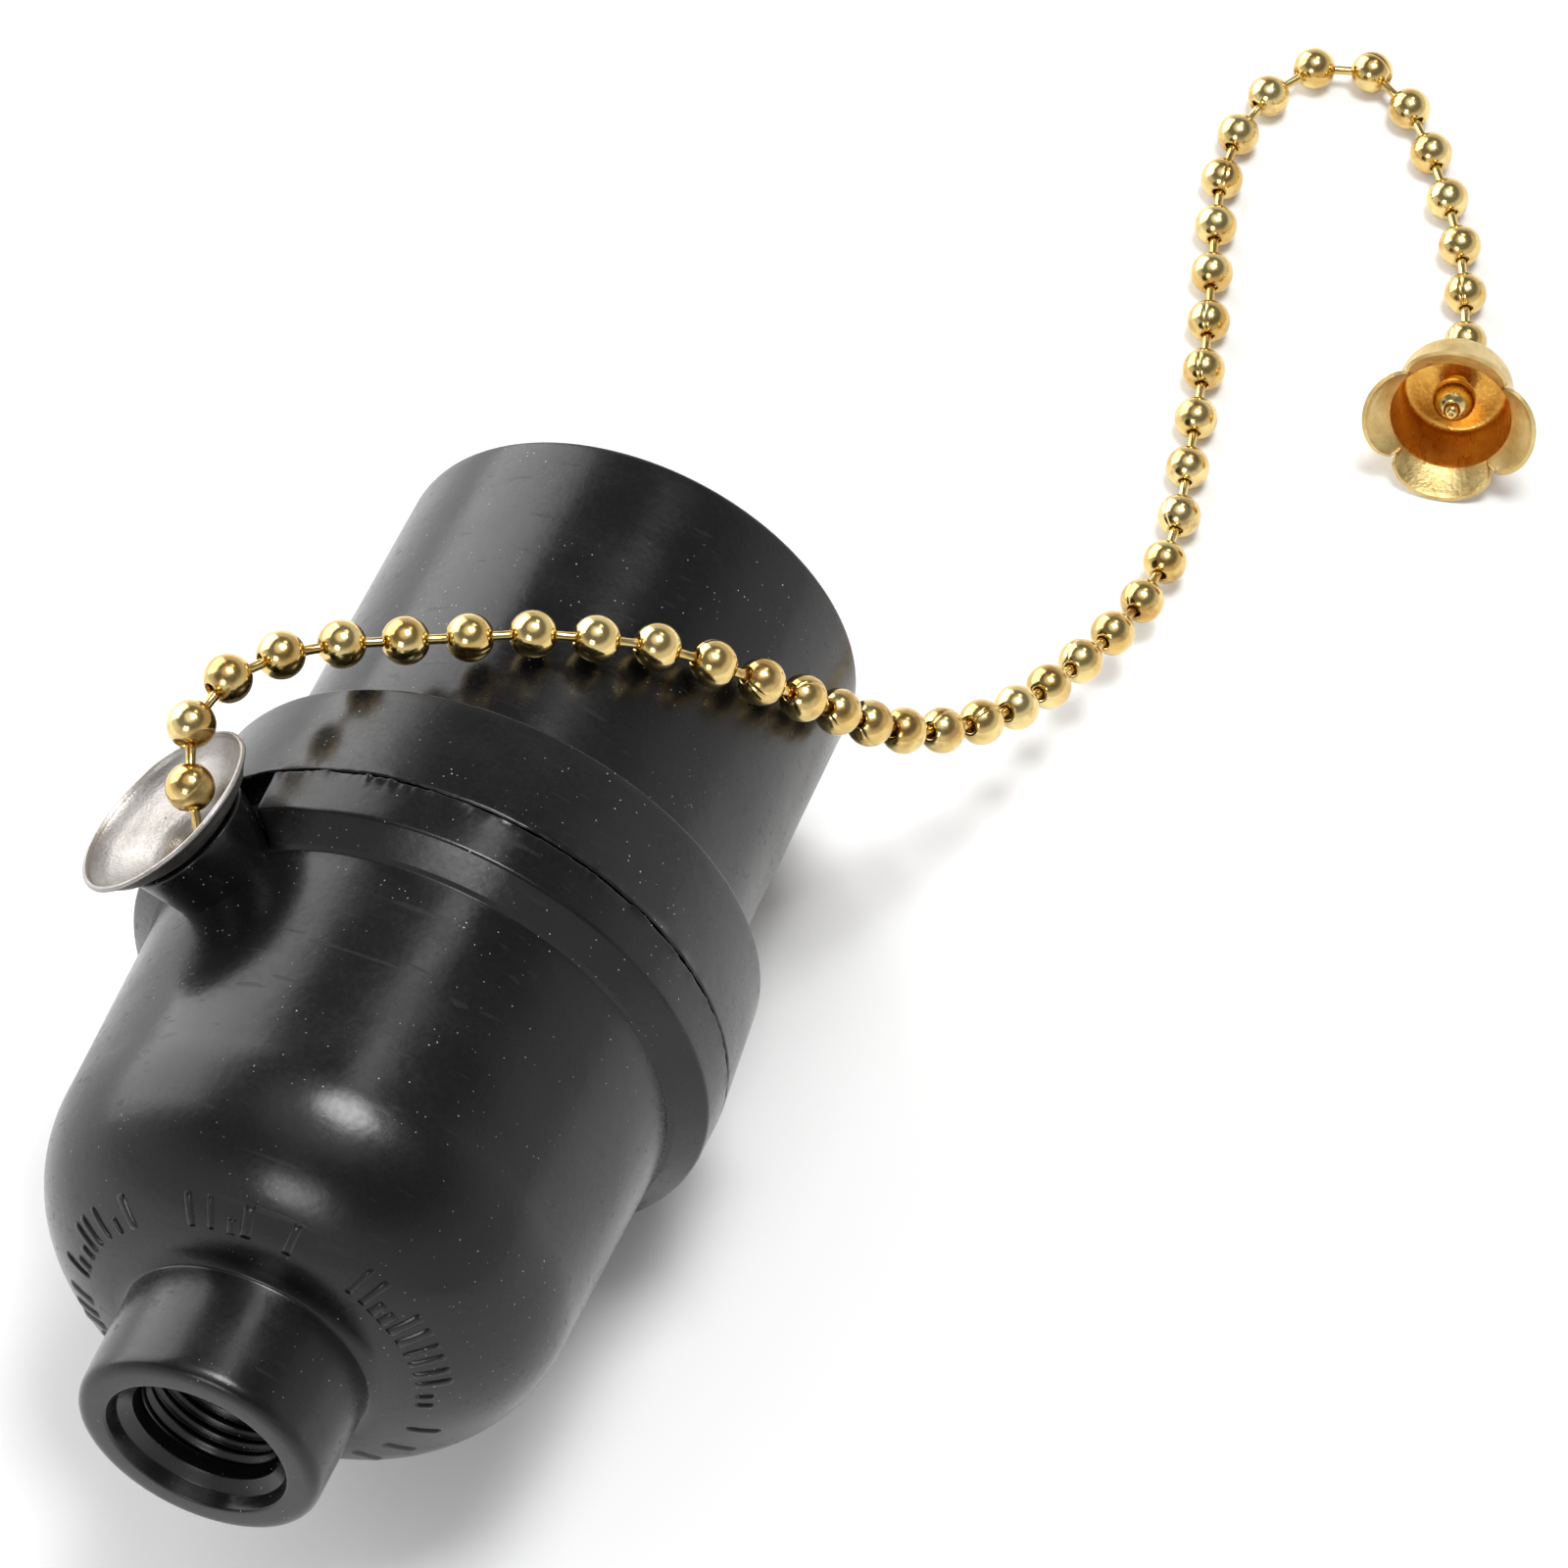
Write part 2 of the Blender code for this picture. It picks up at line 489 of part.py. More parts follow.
def make_drum(mats, axle):
    """The grooved drum that the chain turns, with the last beads wrapped on it and its pawl."""
    bore = AXLE_R + GAP
    side = [(bore, -2.6 * MM), (5.6 * MM, -2.6 * MM), (5.6 * MM, -1.9 * MM), (3.2 * MM, -1.9 * MM)]
    outline = side + [(r, -z) for r, z in reversed(side)]
    place("chain_drum", turned(outline, 32), mats["nylon"], axle)
    beads = turned(bead_string(0.0, 3, -2.4 * MM, 2 * BEAD_PITCH + 1.9 * MM), 10, closed=False)
    for vert in beads.verts:
        angle = math.pi / 2 + vert.co.z / DRUM_PITCH_R
        reach = DRUM_PITCH_R + vert.co.x
        vert.co = Vector((reach * math.cos(angle), -reach * math.sin(angle), vert.co.y))
    place("drum_chain", beads, mats["brass"], axle)
    pawl = [(-1.2, 5.0), (1.4, 5.3), (1.4, 6.1), (-0.8, 6.4), (-2.6, 5.8), (-2.4, 4.9)]
    pawl = [(x * MM, y * MM) for x, y in pawl]
    place("drive_pawl", extruded(pawl, 2.9 * MM, 4.5 * MM), mats["steel"], axle)


def make_rotor(mats, axle):
    """The four-tooth ratchet, the square insulating rotor and its contact blade."""
    bore = AXLE_R + GAP
    tooth = wheel_outline(lambda i: (4.6 - 1.5 * (i % 6) / 5) * MM, 24)
    ratchet = place("ratchet_wheel", extruded(tooth, 3.1 * MM, 4.5 * MM), mats["steel"], axle)
    cut(ratchet, rod(bore, 2.0 * MM, 6.0 * MM, 16), "bore", axle)
    square = wheel_outline(lambda i: min(4.2, 3.2 / abs(math.cos((i % 6 - 3) * math.pi / 12))) * MM, 24)
    rotor = place("rotor", extruded(square, 4.8 * MM, 8.7 * MM), mats["nylon"], axle)
    cut(rotor, rod(bore, 4.0 * MM, 10.0 * MM, 16), "bore", axle)
    blade = [(-1.9, -2.4), (1.9, -2.4), (1.9, 5.9), (-1.9, 5.9)]
    blade = [(x * MM, y * MM) for x, y in blade]
    contact = place("rotor_contact", extruded(blade, 9.0 * MM, 9.5 * MM), mats["bronze"], axle)
    cut(contact, rod(bore, 8.0 * MM, 11.0 * MM, 16), "bore", axle)


def make_detent_spring(mats, socket):
    """The leaf that holds the square rotor on its flats, standing on the base plate."""
    outline = [(-6.6, 22.0), (-6.2, 22.0), (-6.0, 24.2), (6.0, 24.2), (6.2, 22.0), (6.6, 22.0)]
    outline += [(6.3, 24.6), (-6.3, 24.6)]
    bm = strip_along_x([(x * MM, z * MM) for x, z in outline], -8.4 * MM, -5.2 * MM)
    for vert in bm.verts:
        vert.co = Vector((vert.co.y, -vert.co.x, vert.co.z))
    place("detent_spring", bm, mats["bronze"], socket)


def swept(points, radius, sides):
    """A round wire along a list of points."""
    bm = bmesh.new()
    rings = []
    up = Vector((0.0, 0.0, 1.0))
    for i, point in enumerate(points):
        ahead = points[min(i + 1, len(points) - 1)] - points[max(i - 1, 0)]
        ahead.normalize()
        side = ahead.cross(up).normalized()
        over = side.cross(ahead)
        ring = []
        for k in range(sides):
            angle = 2 * math.pi * k / sides
            ring.append(bm.verts.new(point + radius * (math.cos(angle) * side + math.sin(angle) * over)))
        rings.append(ring)
    for low, high in zip(rings, rings[1:]):
        for k in range(sides):
            j = (k + 1) % sides
            bm.faces.new((low[k], low[j], high[j], high[k]))
    bm.faces.new(rings[0][::-1])
    bm.faces.new(rings[-1])
    return bm


def make_return_spring(mats, axle):
    """The torsion spring that winds the chain back onto the drum."""
    turns = 4
    steps = 12
    points = [Vector((2.1 * MM, 7.2 * MM, -8.4 * MM)), Vector((2.1 * MM, 4.5 * MM, -8.4 * MM))]
    for i in range(turns * steps + 1):
        angle = -2 * math.pi * i / steps
        z = -8.4 * MM + 4.4 * MM * i / (turns * steps)
        points.append(Vector((2.1 * MM * math.cos(angle), 2.1 * MM * math.sin(angle), z)))
    place("return_spring", swept(points, 0.35 * MM, 6), mats["steel"], axle)


def make_bell(mats, bell_frame):
    """The four-petalled bell that the chain's end runs into."""
    lip_r = BELL_MOUTH_R + 0.25 * MM

    def petals(angle, z):
        """Radius scale: round in the cup, four lobes beyond the mouth."""
        if z <= BELL_MOUTH_Z:
            return 1.0
        spread = (z - BELL_MOUTH_Z) / (BELL_PETAL_Z - BELL_MOUTH_Z)
        lobe = abs(math.cos(2.0 * angle)) ** 0.8
        return 1.0 + (BELL_PETAL_R / lip_r - 1.0) * lobe * spread

    side = [(BELL_CROWN_R, BELL_CROWN_Z + 0.9 * MM), (BELL_MOUTH_R - 0.2 * MM, BELL_MOUTH_Z - 1.1 * MM)]
    side += [(BELL_MOUTH_R, BELL_MOUTH_Z), (BELL_MOUTH_R + 0.15 * MM, BELL_MOUTH_Z + 0.6 * MM)]
    side += [(lip_r, BELL_PETAL_Z)]
    outline = [(0.8 * MM, BELL_CROWN_Z), (3.3 * MM, BELL_CROWN_Z), (3.95 * MM, BELL_CROWN_Z + 0.3 * MM)]
    outline += side + [(r - BELL_WALL, z) for r, z in reversed(side)]
    outline += [(3.4 * MM, BELL_CROWN_Z + BELL_WALL + 0.1 * MM), (0.8 * MM, BELL_CROWN_Z + BELL_WALL)]
    place("bell", turned(outline, 32, swell=petals), mats["brass"], bell_frame)


def make_bell_bead(mats, bell_frame):
    """The chain's last two beads, one outside the bell and one inside, and the head of the last link."""
    outer_z = BELL_CROWN_Z - GAP - BEAD_R - 0.15 * MM
    inner_z = BELL_CROWN_Z + BELL_WALL + GAP + BEAD_R
    side = math.degrees(math.asin(LINK_R / BEAD_R))
    head_r = 0.6 * MM
    outline = [(0.0, GAP + 0.05 * MM), (LINK_R, GAP + 0.05 * MM)]
    outline += arc(0.0, outer_z, BEAD_R, -90.0 + side, 90.0 - side, 6)
    outline += arc(0.0, inner_z, BEAD_R, -90.0 + side, 69.9, 6)
    outline += arc(0.0, inner_z + 1.75 * MM, head_r, -15.0, 80.0, 4)
    outline += [(0.0, inner_z + 1.75 * MM + head_r)]
    place("bell_bead", turned(outline, 14, closed=False), mats["brass"], bell_frame)


def make_bell_frame():
    """The bell lies on one petal, its chain's beads on the table; its frame's z points out of the mouth."""
    hinge = Vector(CHAIN_ROUTE[-1]) * MM
    reach = math.hypot(BELL_PETAL_R, BELL_PETAL_Z)
    tilt = math.acos((hinge.z - 0.02 * MM) / reach) - math.atan2(BELL_PETAL_Z, BELL_PETAL_R)
    heading = empty("bell_heading", hinge, (0.0, 0.0, BELL_HEADING))
    return empty("bell_axis", (0.0, 0.0, 0.0), (0.0, math.pi / 2 - tilt, 0.0), heading)


def smooth_route(route, step):
    """Points about a step apart on one smooth curve through the route's own points."""
    knots = [Vector(p) * MM for p in route]
    knots = [2 * knots[0] - knots[1]] + knots + [2 * knots[-1] - knots[-2]]
    fine = []
    for before, start, end, after in zip(knots, knots[1:], knots[2:], knots[3:]):
        for i in range(12):
            t = i / 12
            bend = 2 * before - 5 * start + 4 * end - after
            twist = 3 * start - before - 3 * end + after
            fine.append(0.5 * (2 * start + (end - before) * t + bend * t * t + twist * t ** 3))
    fine.append(knots[-2])
    lengths = [0.0]
    for a, b in zip(fine, fine[1:]):
        lengths.append(lengths[-1] + (b - a).length)
    count = round(lengths[-1] / step)
    points = []
    for i in range(count + 1):
        target = lengths[-1] * i / count
        k = min(max(j for j, s in enumerate(lengths) if s <= target + 1e-9), len(fine) - 2)
        share = (target - lengths[k]) / (lengths[k + 1] - lengths[k])
        points.append(fine[k].lerp(fine[k + 1], share))
    return points


def make_free_chain(mats):
    points = smooth_route(CHAIN_ROUTE, CHAIN_STEP)
    curve = bpy.data.curves.new("free_chain", "CURVE")
    curve.dimensions = "3D"
    curve.bevel_depth = BEAD_R
    curve.bevel_resolution = 2
    curve.use_fill_caps = True
    spline = curve.splines.new("POLY")
    spline.points.add(len(points) - 1)
    for slot, point in zip(spline.points, points):
        slot.co = (*point, 1.0)
    curve.materials.append(mats["brass"])
    chain = bpy.data.objects.new("free_chain", curve)
    bpy.context.scene.collection.objects.link(chain)


def main():
    for obj in list(bpy.data.objects):
        bpy.data.objects.remove(obj, do_unlink=True)
    mats = make_materials()
    socket, guide, axle = make_frames()
    make_cap(mats, socket)
    make_outer_shell(mats, socket)
    make_chain_guide(mats, guide)
    make_guide_dish(mats, guide)
    make_inner_chain(mats, guide)
    make_screw_shell(mats, socket)
    make_deck(mats, socket)
    make_cheek("cheek_line_side", 1, mats, socket)
    make_cheek("cheek_neutral_side", -1, mats, socket)
    make_fasteners(mats, socket)
    make_rivets(mats, socket)
    make_line_terminal(mats, socket)
    make_neutral_terminal(mats, socket)
    make_lamp_leaf(mats, socket)
    make_centre_contact(mats, socket)
    make_base_plate(mats, socket)
    make_axle(mats, axle)
    make_drum(mats, axle)
    make_rotor(mats, axle)
    make_detent_spring(mats, socket)
    make_return_spring(mats, axle)
    bell_frame = make_bell_frame()
    make_bell(mats, bell_frame)
    make_bell_bead(mats, bell_frame)
    make_free_chain(mats)


main()
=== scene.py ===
"""The looks of the pull-chain lampholder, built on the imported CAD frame.

Lengths are in metres, unless a line says millimetres. Texture scales are in cells per metre, so a
scale of 1000 has features of about a millimetre.
"""

import json
import math
import random

import bpy
from mathutils import Matrix, Vector, noise


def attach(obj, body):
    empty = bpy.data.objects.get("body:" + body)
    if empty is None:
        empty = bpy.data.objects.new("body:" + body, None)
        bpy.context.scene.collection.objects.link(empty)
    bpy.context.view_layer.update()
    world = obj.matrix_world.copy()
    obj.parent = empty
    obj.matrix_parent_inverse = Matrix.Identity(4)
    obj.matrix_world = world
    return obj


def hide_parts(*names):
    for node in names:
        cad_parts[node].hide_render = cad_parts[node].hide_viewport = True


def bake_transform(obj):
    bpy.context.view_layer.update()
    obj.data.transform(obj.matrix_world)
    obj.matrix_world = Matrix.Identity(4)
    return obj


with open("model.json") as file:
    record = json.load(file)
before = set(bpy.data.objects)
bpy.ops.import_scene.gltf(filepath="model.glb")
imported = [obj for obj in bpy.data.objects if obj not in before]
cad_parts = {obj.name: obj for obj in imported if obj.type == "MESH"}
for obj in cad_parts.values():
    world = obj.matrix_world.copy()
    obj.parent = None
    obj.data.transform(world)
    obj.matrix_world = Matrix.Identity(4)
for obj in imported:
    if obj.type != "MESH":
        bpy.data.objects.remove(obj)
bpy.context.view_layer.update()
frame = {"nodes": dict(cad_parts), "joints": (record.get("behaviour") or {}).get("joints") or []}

MM = 0.001
TURN = 2.0 * math.pi

# The camera looks down at the middle of the socket and its chain
CAMERA_PLACE = Vector((0.1003, -0.19617, 0.37319))
CAMERA_RIGHT = Vector((0.9355, 0.3534, 0.0))
CAMERA_BACK = Vector((0.1974, -0.5225, 0.8295))
CAMERA_LENS = 139.95
CAMERA_SENSOR = 36.0
CAMERA_NEAREST = 10.0 * MM

# The studio's brightness by height, from the horizon to straight above
WORLD_LEVELS = [(0.0, 0.85), (0.35, 0.7), (0.58, 0.2), (0.86, 0.2), (0.96, 1.0)]

# Each light's name, place, size and power in watts
LIGHTS = [
    ("overhead", (0.11, 0.12, 0.74), 0.24, 3.2),
    ("left", (-0.85, 0.36, 0.26), 1.1, 12.0),
    ("back", (0.11, 0.5, 0.72), 0.16, 0.3),
    ("front", (-0.03, -0.64, 0.48), 0.24, 1.2),
]
LIGHT_AIM = Vector((0.0, 0.02, 0.02))
FLOOR_HALF = 1.5
FLOOR_Z = -0.05 * MM

# Driving dimensions of the socket, as in the CAD model
LENGTH = 76.2 * MM
JOINT_Z = 40.3 * MM
GAP = 0.3 * MM
LINE = 0.06 * MM
NECK_R = 8.5 * MM
NECK_LENGTH = 8.45 * MM
NECK_ROOT_R = 9.2 * MM
CAVITY_R = 15.6 * MM
CAVITY_Z = 11.4 * MM
DOME_CORNER_R = 10.8 * MM
BODY_R = 18.4 * MM
DOME_CENTRE_R = BODY_R - DOME_CORNER_R
BODY_TOP_R = 18.9 * MM
FLANGE_BOTTOM_Z = 37.4 * MM
FLANGE_R = 21.2 * MM
SPIGOT_R = 17.0 * MM
SPIGOT_TOP_Z = 45.0 * MM
NOTCH_HALF = 3.4 * MM
NOTCH_ROUND_R = 4.35 * MM
NOTCH_EDGE = 0.9 * MM
RING_TOP_R = 20.4 * MM
RING_TOP_Z = 48.7 * MM
SHELL_R = 17.3 * MM
SHELL_BORE_R = 14.9 * MM
GUIDE_Z = 34.4 * MM
AXLE_Z = 29.3 * MM
SCREW_SHELL_R = 13.7 * MM
SCREW_SHELL_WALL = 0.35 * MM
SCREW_SHELL_HOLE_R = 8.4 * MM
SCREW_SHELL_BASE_Z = 47.9 * MM
SCREW_SHELL_TOP_Z = SCREW_SHELL_BASE_Z + 23.6 * MM
SCREW_PITCH = 3.63 * MM
SCREW_DEPTH = 0.6 * MM
SCREW_TURNS = 5.5

# The bore's thread, 27 turns to the inch
BORE_PITCH = 0.94 * MM
BORE_ROOT_R = 5.02 * MM
BORE_DEPTH = 0.42 * MM

# The flash on the joint line
FLASH_REACH = 0.3 * MM
FLASH_LEAST = -0.04
FLASH_BASE = 0.35

# The raised bars round the dome; their spacings and the blanks between words are in radians
BAR_FOOT = math.radians(-69.0)
BAR_TOP = math.radians(-55.0)
BAR_SINK = 0.05 * MM
BAR_CROWN = 0.21 * MM
BAR_HALF_WIDTHS = (0.26 * MM, 0.34 * MM, 0.44 * MM)
BAR_SPACINGS = (0.085, 0.1, 0.12)
BAR_BLANK = 0.16
BLANK_CHANCE = 0.16
TALL_CHANCE = 0.7

# The chain guide's eyelet, in millimetres along the guide's own frame
DISH_BOWL = [
    (2.0, 18.0), (2.0, 20.5), (2.12, 21.0), (2.4, 21.45), (2.9, 21.85), (3.8, 22.3), (4.9, 22.8),
    (5.8, 23.3), (6.35, 23.75), (6.66, 24.12),
]
DISH_BACK = [
    (6.55, 23.75), (5.95, 23.1), (4.95, 22.55), (4.0, 22.1), (3.2, 21.7), (2.7, 21.25),
    (2.4, 20.6), (2.4, 18.0),
]
DISH_RIM_CENTRE = (6.8, 24.2)
DISH_RIM_R = 0.21
DISH_FOOT_Z = 20.0
DISH_LIFT = 0.4

# The bead chain
BEAD_R = 1.67 * MM
BEAD_HOLE_R = 0.62 * MM
BEAD_COLUMNS = 28
SEAM_HALF_ANGLE = 0.035
SEAM_DEPTH = 0.045 * MM
NEAR_PITCH = 4.28 * MM
FAR_PITCH = 4.75 * MM
PITCH_CHANGES = (50.0 * MM, 80.0 * MM)
FIRST_BEAD = -0.4 * MM
THROAT_BEAD = -1.3 * MM
LINK_R = 0.38 * MM
LINK_COLUMNS = 14

# A link's half width at shares of its length: a small head at each end
LINK_SHAPE = [
    (0.0, 0.75), (0.03, 1.0), (0.12, 0.94), (0.5, 0.9), (0.88, 0.94), (0.97, 1.0), (1.0, 0.75),
]

# The bell, and the small head on the chain's last link
BELL_HOLE_R = 0.62 * MM
BELL_CROWN_Z = 6.35 * MM
BELL_CROWN_R = 4.3 * MM
BELL_MOUTH_Z = 11.3 * MM
BELL_MOUTH_R = 4.95 * MM
BELL_LIP_R = BELL_MOUTH_R + 0.3 * MM
BELL_LIP_Z = BELL_MOUTH_Z - 0.1 * MM
BELL_PETAL_Z = 12.85 * MM
BELL_PETAL_R = 6.6 * MM
BELL_PETALS = 4
BELL_NICK = 1.0 * MM
BELL_WALL = 0.32 * MM
PIN_HEAD_R = 0.66 * MM

# The chain's route, in millimetres: the CAD model's own points
CHAIN_ROUTE = [
    (-14.35, -2.62, 37.17), (-15.0, -2.2, 38.2), (-15.7, 0.1, 39.8), (-17.0, 3.3, 41.2),
    (-16.3, 7.4, 41.4), (-14.0, 11.2, 40.5), (-10.6, 14.1, 39.7), (-7.0, 16.1, 39.2),
    (-3.1, 18.0, 39.0), (0.8, 20.0, 38.7), (4.8, 21.6, 38.0), (8.6, 23.4, 36.5),
    (12.2, 24.8, 34.3), (15.2, 26.5, 31.3), (17.8, 28.6, 27.6), (19.8, 31.1, 23.4),
    (21.8, 33.9, 19.2), (24.1, 37.5, 15.4), (26.4, 42.0, 12.0), (28.1, 47.4, 8.7),
    (29.6, 53.3, 6.0), (31.0, 59.2, 3.9), (31.7, 64.7, 2.5), (31.4, 70.2, 1.9),
    (30.4, 75.7, 1.7), (28.2, 86.7, 1.7), (25.3, 97.5, 1.7), (23.7, 105.0, 1.7),
    (24.1, 111.6, 1.7), (27.0, 117.0, 1.7), (31.0, 118.5, 1.7), (35.1, 116.2, 1.7),
    (39.2, 111.0, 1.7), (43.1, 104.4, 1.7), (45.2, 99.4, 1.7), (46.6, 94.9, 1.7),
]


# ---------------------------------------------------------------- frames

def joint(name):
    return next(j for j in frame["joints"] if j["name"] == name)


def frame_of(origin, z_axis, x_axis):
    """A placing matrix from an origin and two perpendicular directions."""
    z_axis = z_axis.normalized()
    y_axis = z_axis.cross(x_axis).normalized()
    x_axis = y_axis.cross(z_axis)
    turn = Matrix((x_axis, y_axis, z_axis)).transposed().to_4x4()
    return Matrix.Translation(origin) @ turn


def make_frames():
    """The socket's, the guide's and the bell's own frames, from the joints' axes."""
    guide_way = Vector(joint("pull")["axis"]).normalized()
    axle_way = Vector(joint("drum_turn")["axis"]).normalized()
    socket_way = guide_way.cross(axle_way).normalized()
    neck_end = Vector(joint("drum_turn")["pos_m"]) - socket_way * AXLE_Z
    guide_root = neck_end + socket_way * GUIDE_Z
    bell_root = Vector(joint("bell_spin")["pos_m"])
    bell_way = Vector(joint("bell_spin")["axis"]).normalized()
    bell_side = -Vector(joint("bell_tilt")["axis"]).normalized()
    return {
        "socket": frame_of(neck_end, socket_way, guide_way),
        "guide": frame_of(guide_root, guide_way, -socket_way),
        "bell": frame_of(bell_root, bell_way, bell_side.cross(bell_way)),
    }


FRAMES = make_frames()


def make_camera():
    up = CAMERA_BACK.cross(CAMERA_RIGHT)
    turn = Matrix((CAMERA_RIGHT, up, CAMERA_BACK)).transposed().to_4x4()
    data = bpy.data.cameras.new("camera")
    data.sensor_width = CAMERA_SENSOR
    data.lens = CAMERA_LENS
    data.clip_start = CAMERA_NEAREST
    camera = bpy.data.objects.new("camera", data)
    bpy.context.scene.collection.objects.link(camera)
    camera.matrix_world = Matrix.Translation(CAMERA_PLACE) @ turn
    bpy.context.scene.camera = camera


# ---------------------------------------------------------------- mesh helpers

def add_mesh(name, verts, faces, matrix=None, sharp=None):
    """A smooth-shaded object, placed by the matrix, with edges over sharp degrees kept crisp."""
    mesh = bpy.data.meshes.new(name)
    if matrix:
        verts = [matrix @ v for v in verts]
    mesh.from_pydata([tuple(v) for v in verts], [], faces)
    mesh.validate()
    mesh.update()
    mesh.shade_smooth()
    if sharp:
        mesh.set_sharp_from_angle(angle=math.radians(sharp))
    obj = bpy.data.objects.new(name, mesh)
    bpy.context.scene.collection.objects.link(obj)
    return obj


def clamped(value):
    return min(max(value, 0.0), 1.0)


def rounded(points, steps):
    """Corners given as (r, z, fillet) turned into short arcs; a fillet of 0 stays sharp."""
    result = []
    ends = (0, len(points) - 1)
    for i, (r, z, fillet) in enumerate(points):
        if i in ends or fillet <= 0.0:
            result.append((r, z))
            continue
        here = Vector((r, z))
        before = Vector(points[i - 1][:2]) - here
        after = Vector(points[i + 1][:2]) - here
        just_under_half = 0.49 * min(before.length, after.length)
        back = min(fillet / math.tan(before.angle(after) / 2.0), just_under_half)
        start = here + before.normalized() * back
        end = here + after.normalized() * back
        for k in range(steps + 1):
            t = k / steps
            point = start * (1 - t) ** 2 + here * 2 * t * (1 - t) + end * t * t
            result.append((point.x, point.y))
    return result


def refined(points, longest):
    """The same outline with long edges split, so that surface detail has points to move."""
    result = []
    for (r0, z0), (r1, z1) in zip(points, points[1:]):
        pieces = max(1, math.ceil(math.hypot(r1 - r0, z1 - z0) / longest))
        for k in range(pieces):
            result.append((r0 + (r1 - r0) * k / pieces, z0 + (z1 - z0) * k / pieces))
    result.append(points[-1])
    return result


def refined_loop(points, longest):
    """A closed outline with its long edges split, the last one back to its start too."""
    return refined(points + [points[0]], longest)[:-1]


def arc(centre, radius, start, stop, steps):
    """Outline points on an arc about a centre (r, z), from one angle to another."""
    points = []
    for i in range(steps + 1):
        angle = start + (stop - start) * i / steps
        points.append((centre[0] + radius * math.cos(angle), centre[1] + radius * math.sin(angle)))
    return points


def even_angles(count):
    return [TURN * i / count for i in range(count)]


def turned_point(r, z, angle):
    """The place of an outline point once it is turned about the axis by an angle."""
    return (r * math.cos(angle), r * math.sin(angle), z)


def lathe(outline, angles, form=None, closed=True):
    """Vertices and faces of a turned form; form(r, z, angle) may move each point."""
    verts, faces, rings = [], [], []
    n = len(angles)
    for r, z in outline:
        if r == 0.0:
            rings.append([len(verts)] * n)
            verts.append(Vector((0.0, 0.0, z)))
            continue
        rings.append(range(len(verts), len(verts) + n))
        for angle in angles:
            reach, height = form(r, z, angle) if form else (r, z)
            verts.append(Vector(turned_point(reach, height, angle)))
    pairs = list(zip(rings, rings[1:]))
    if closed:
        pairs.append((rings[-1], rings[0]))
    for low, high in pairs:
        for i in range(n):
            j = (i + 1) % n
            corners = list(dict.fromkeys((low[i], low[j], high[j], high[i])))
            if len(corners) > 2:
                faces.append(corners)
    return verts, faces


def ripple(point, size, seed):
    """Smooth noise from -1 to 1, with features of about the given size."""
    return noise.noise(Vector((point[0] / size, point[1] / size, point[2] / size + seed)))


# ---------------------------------------------------------------- materials

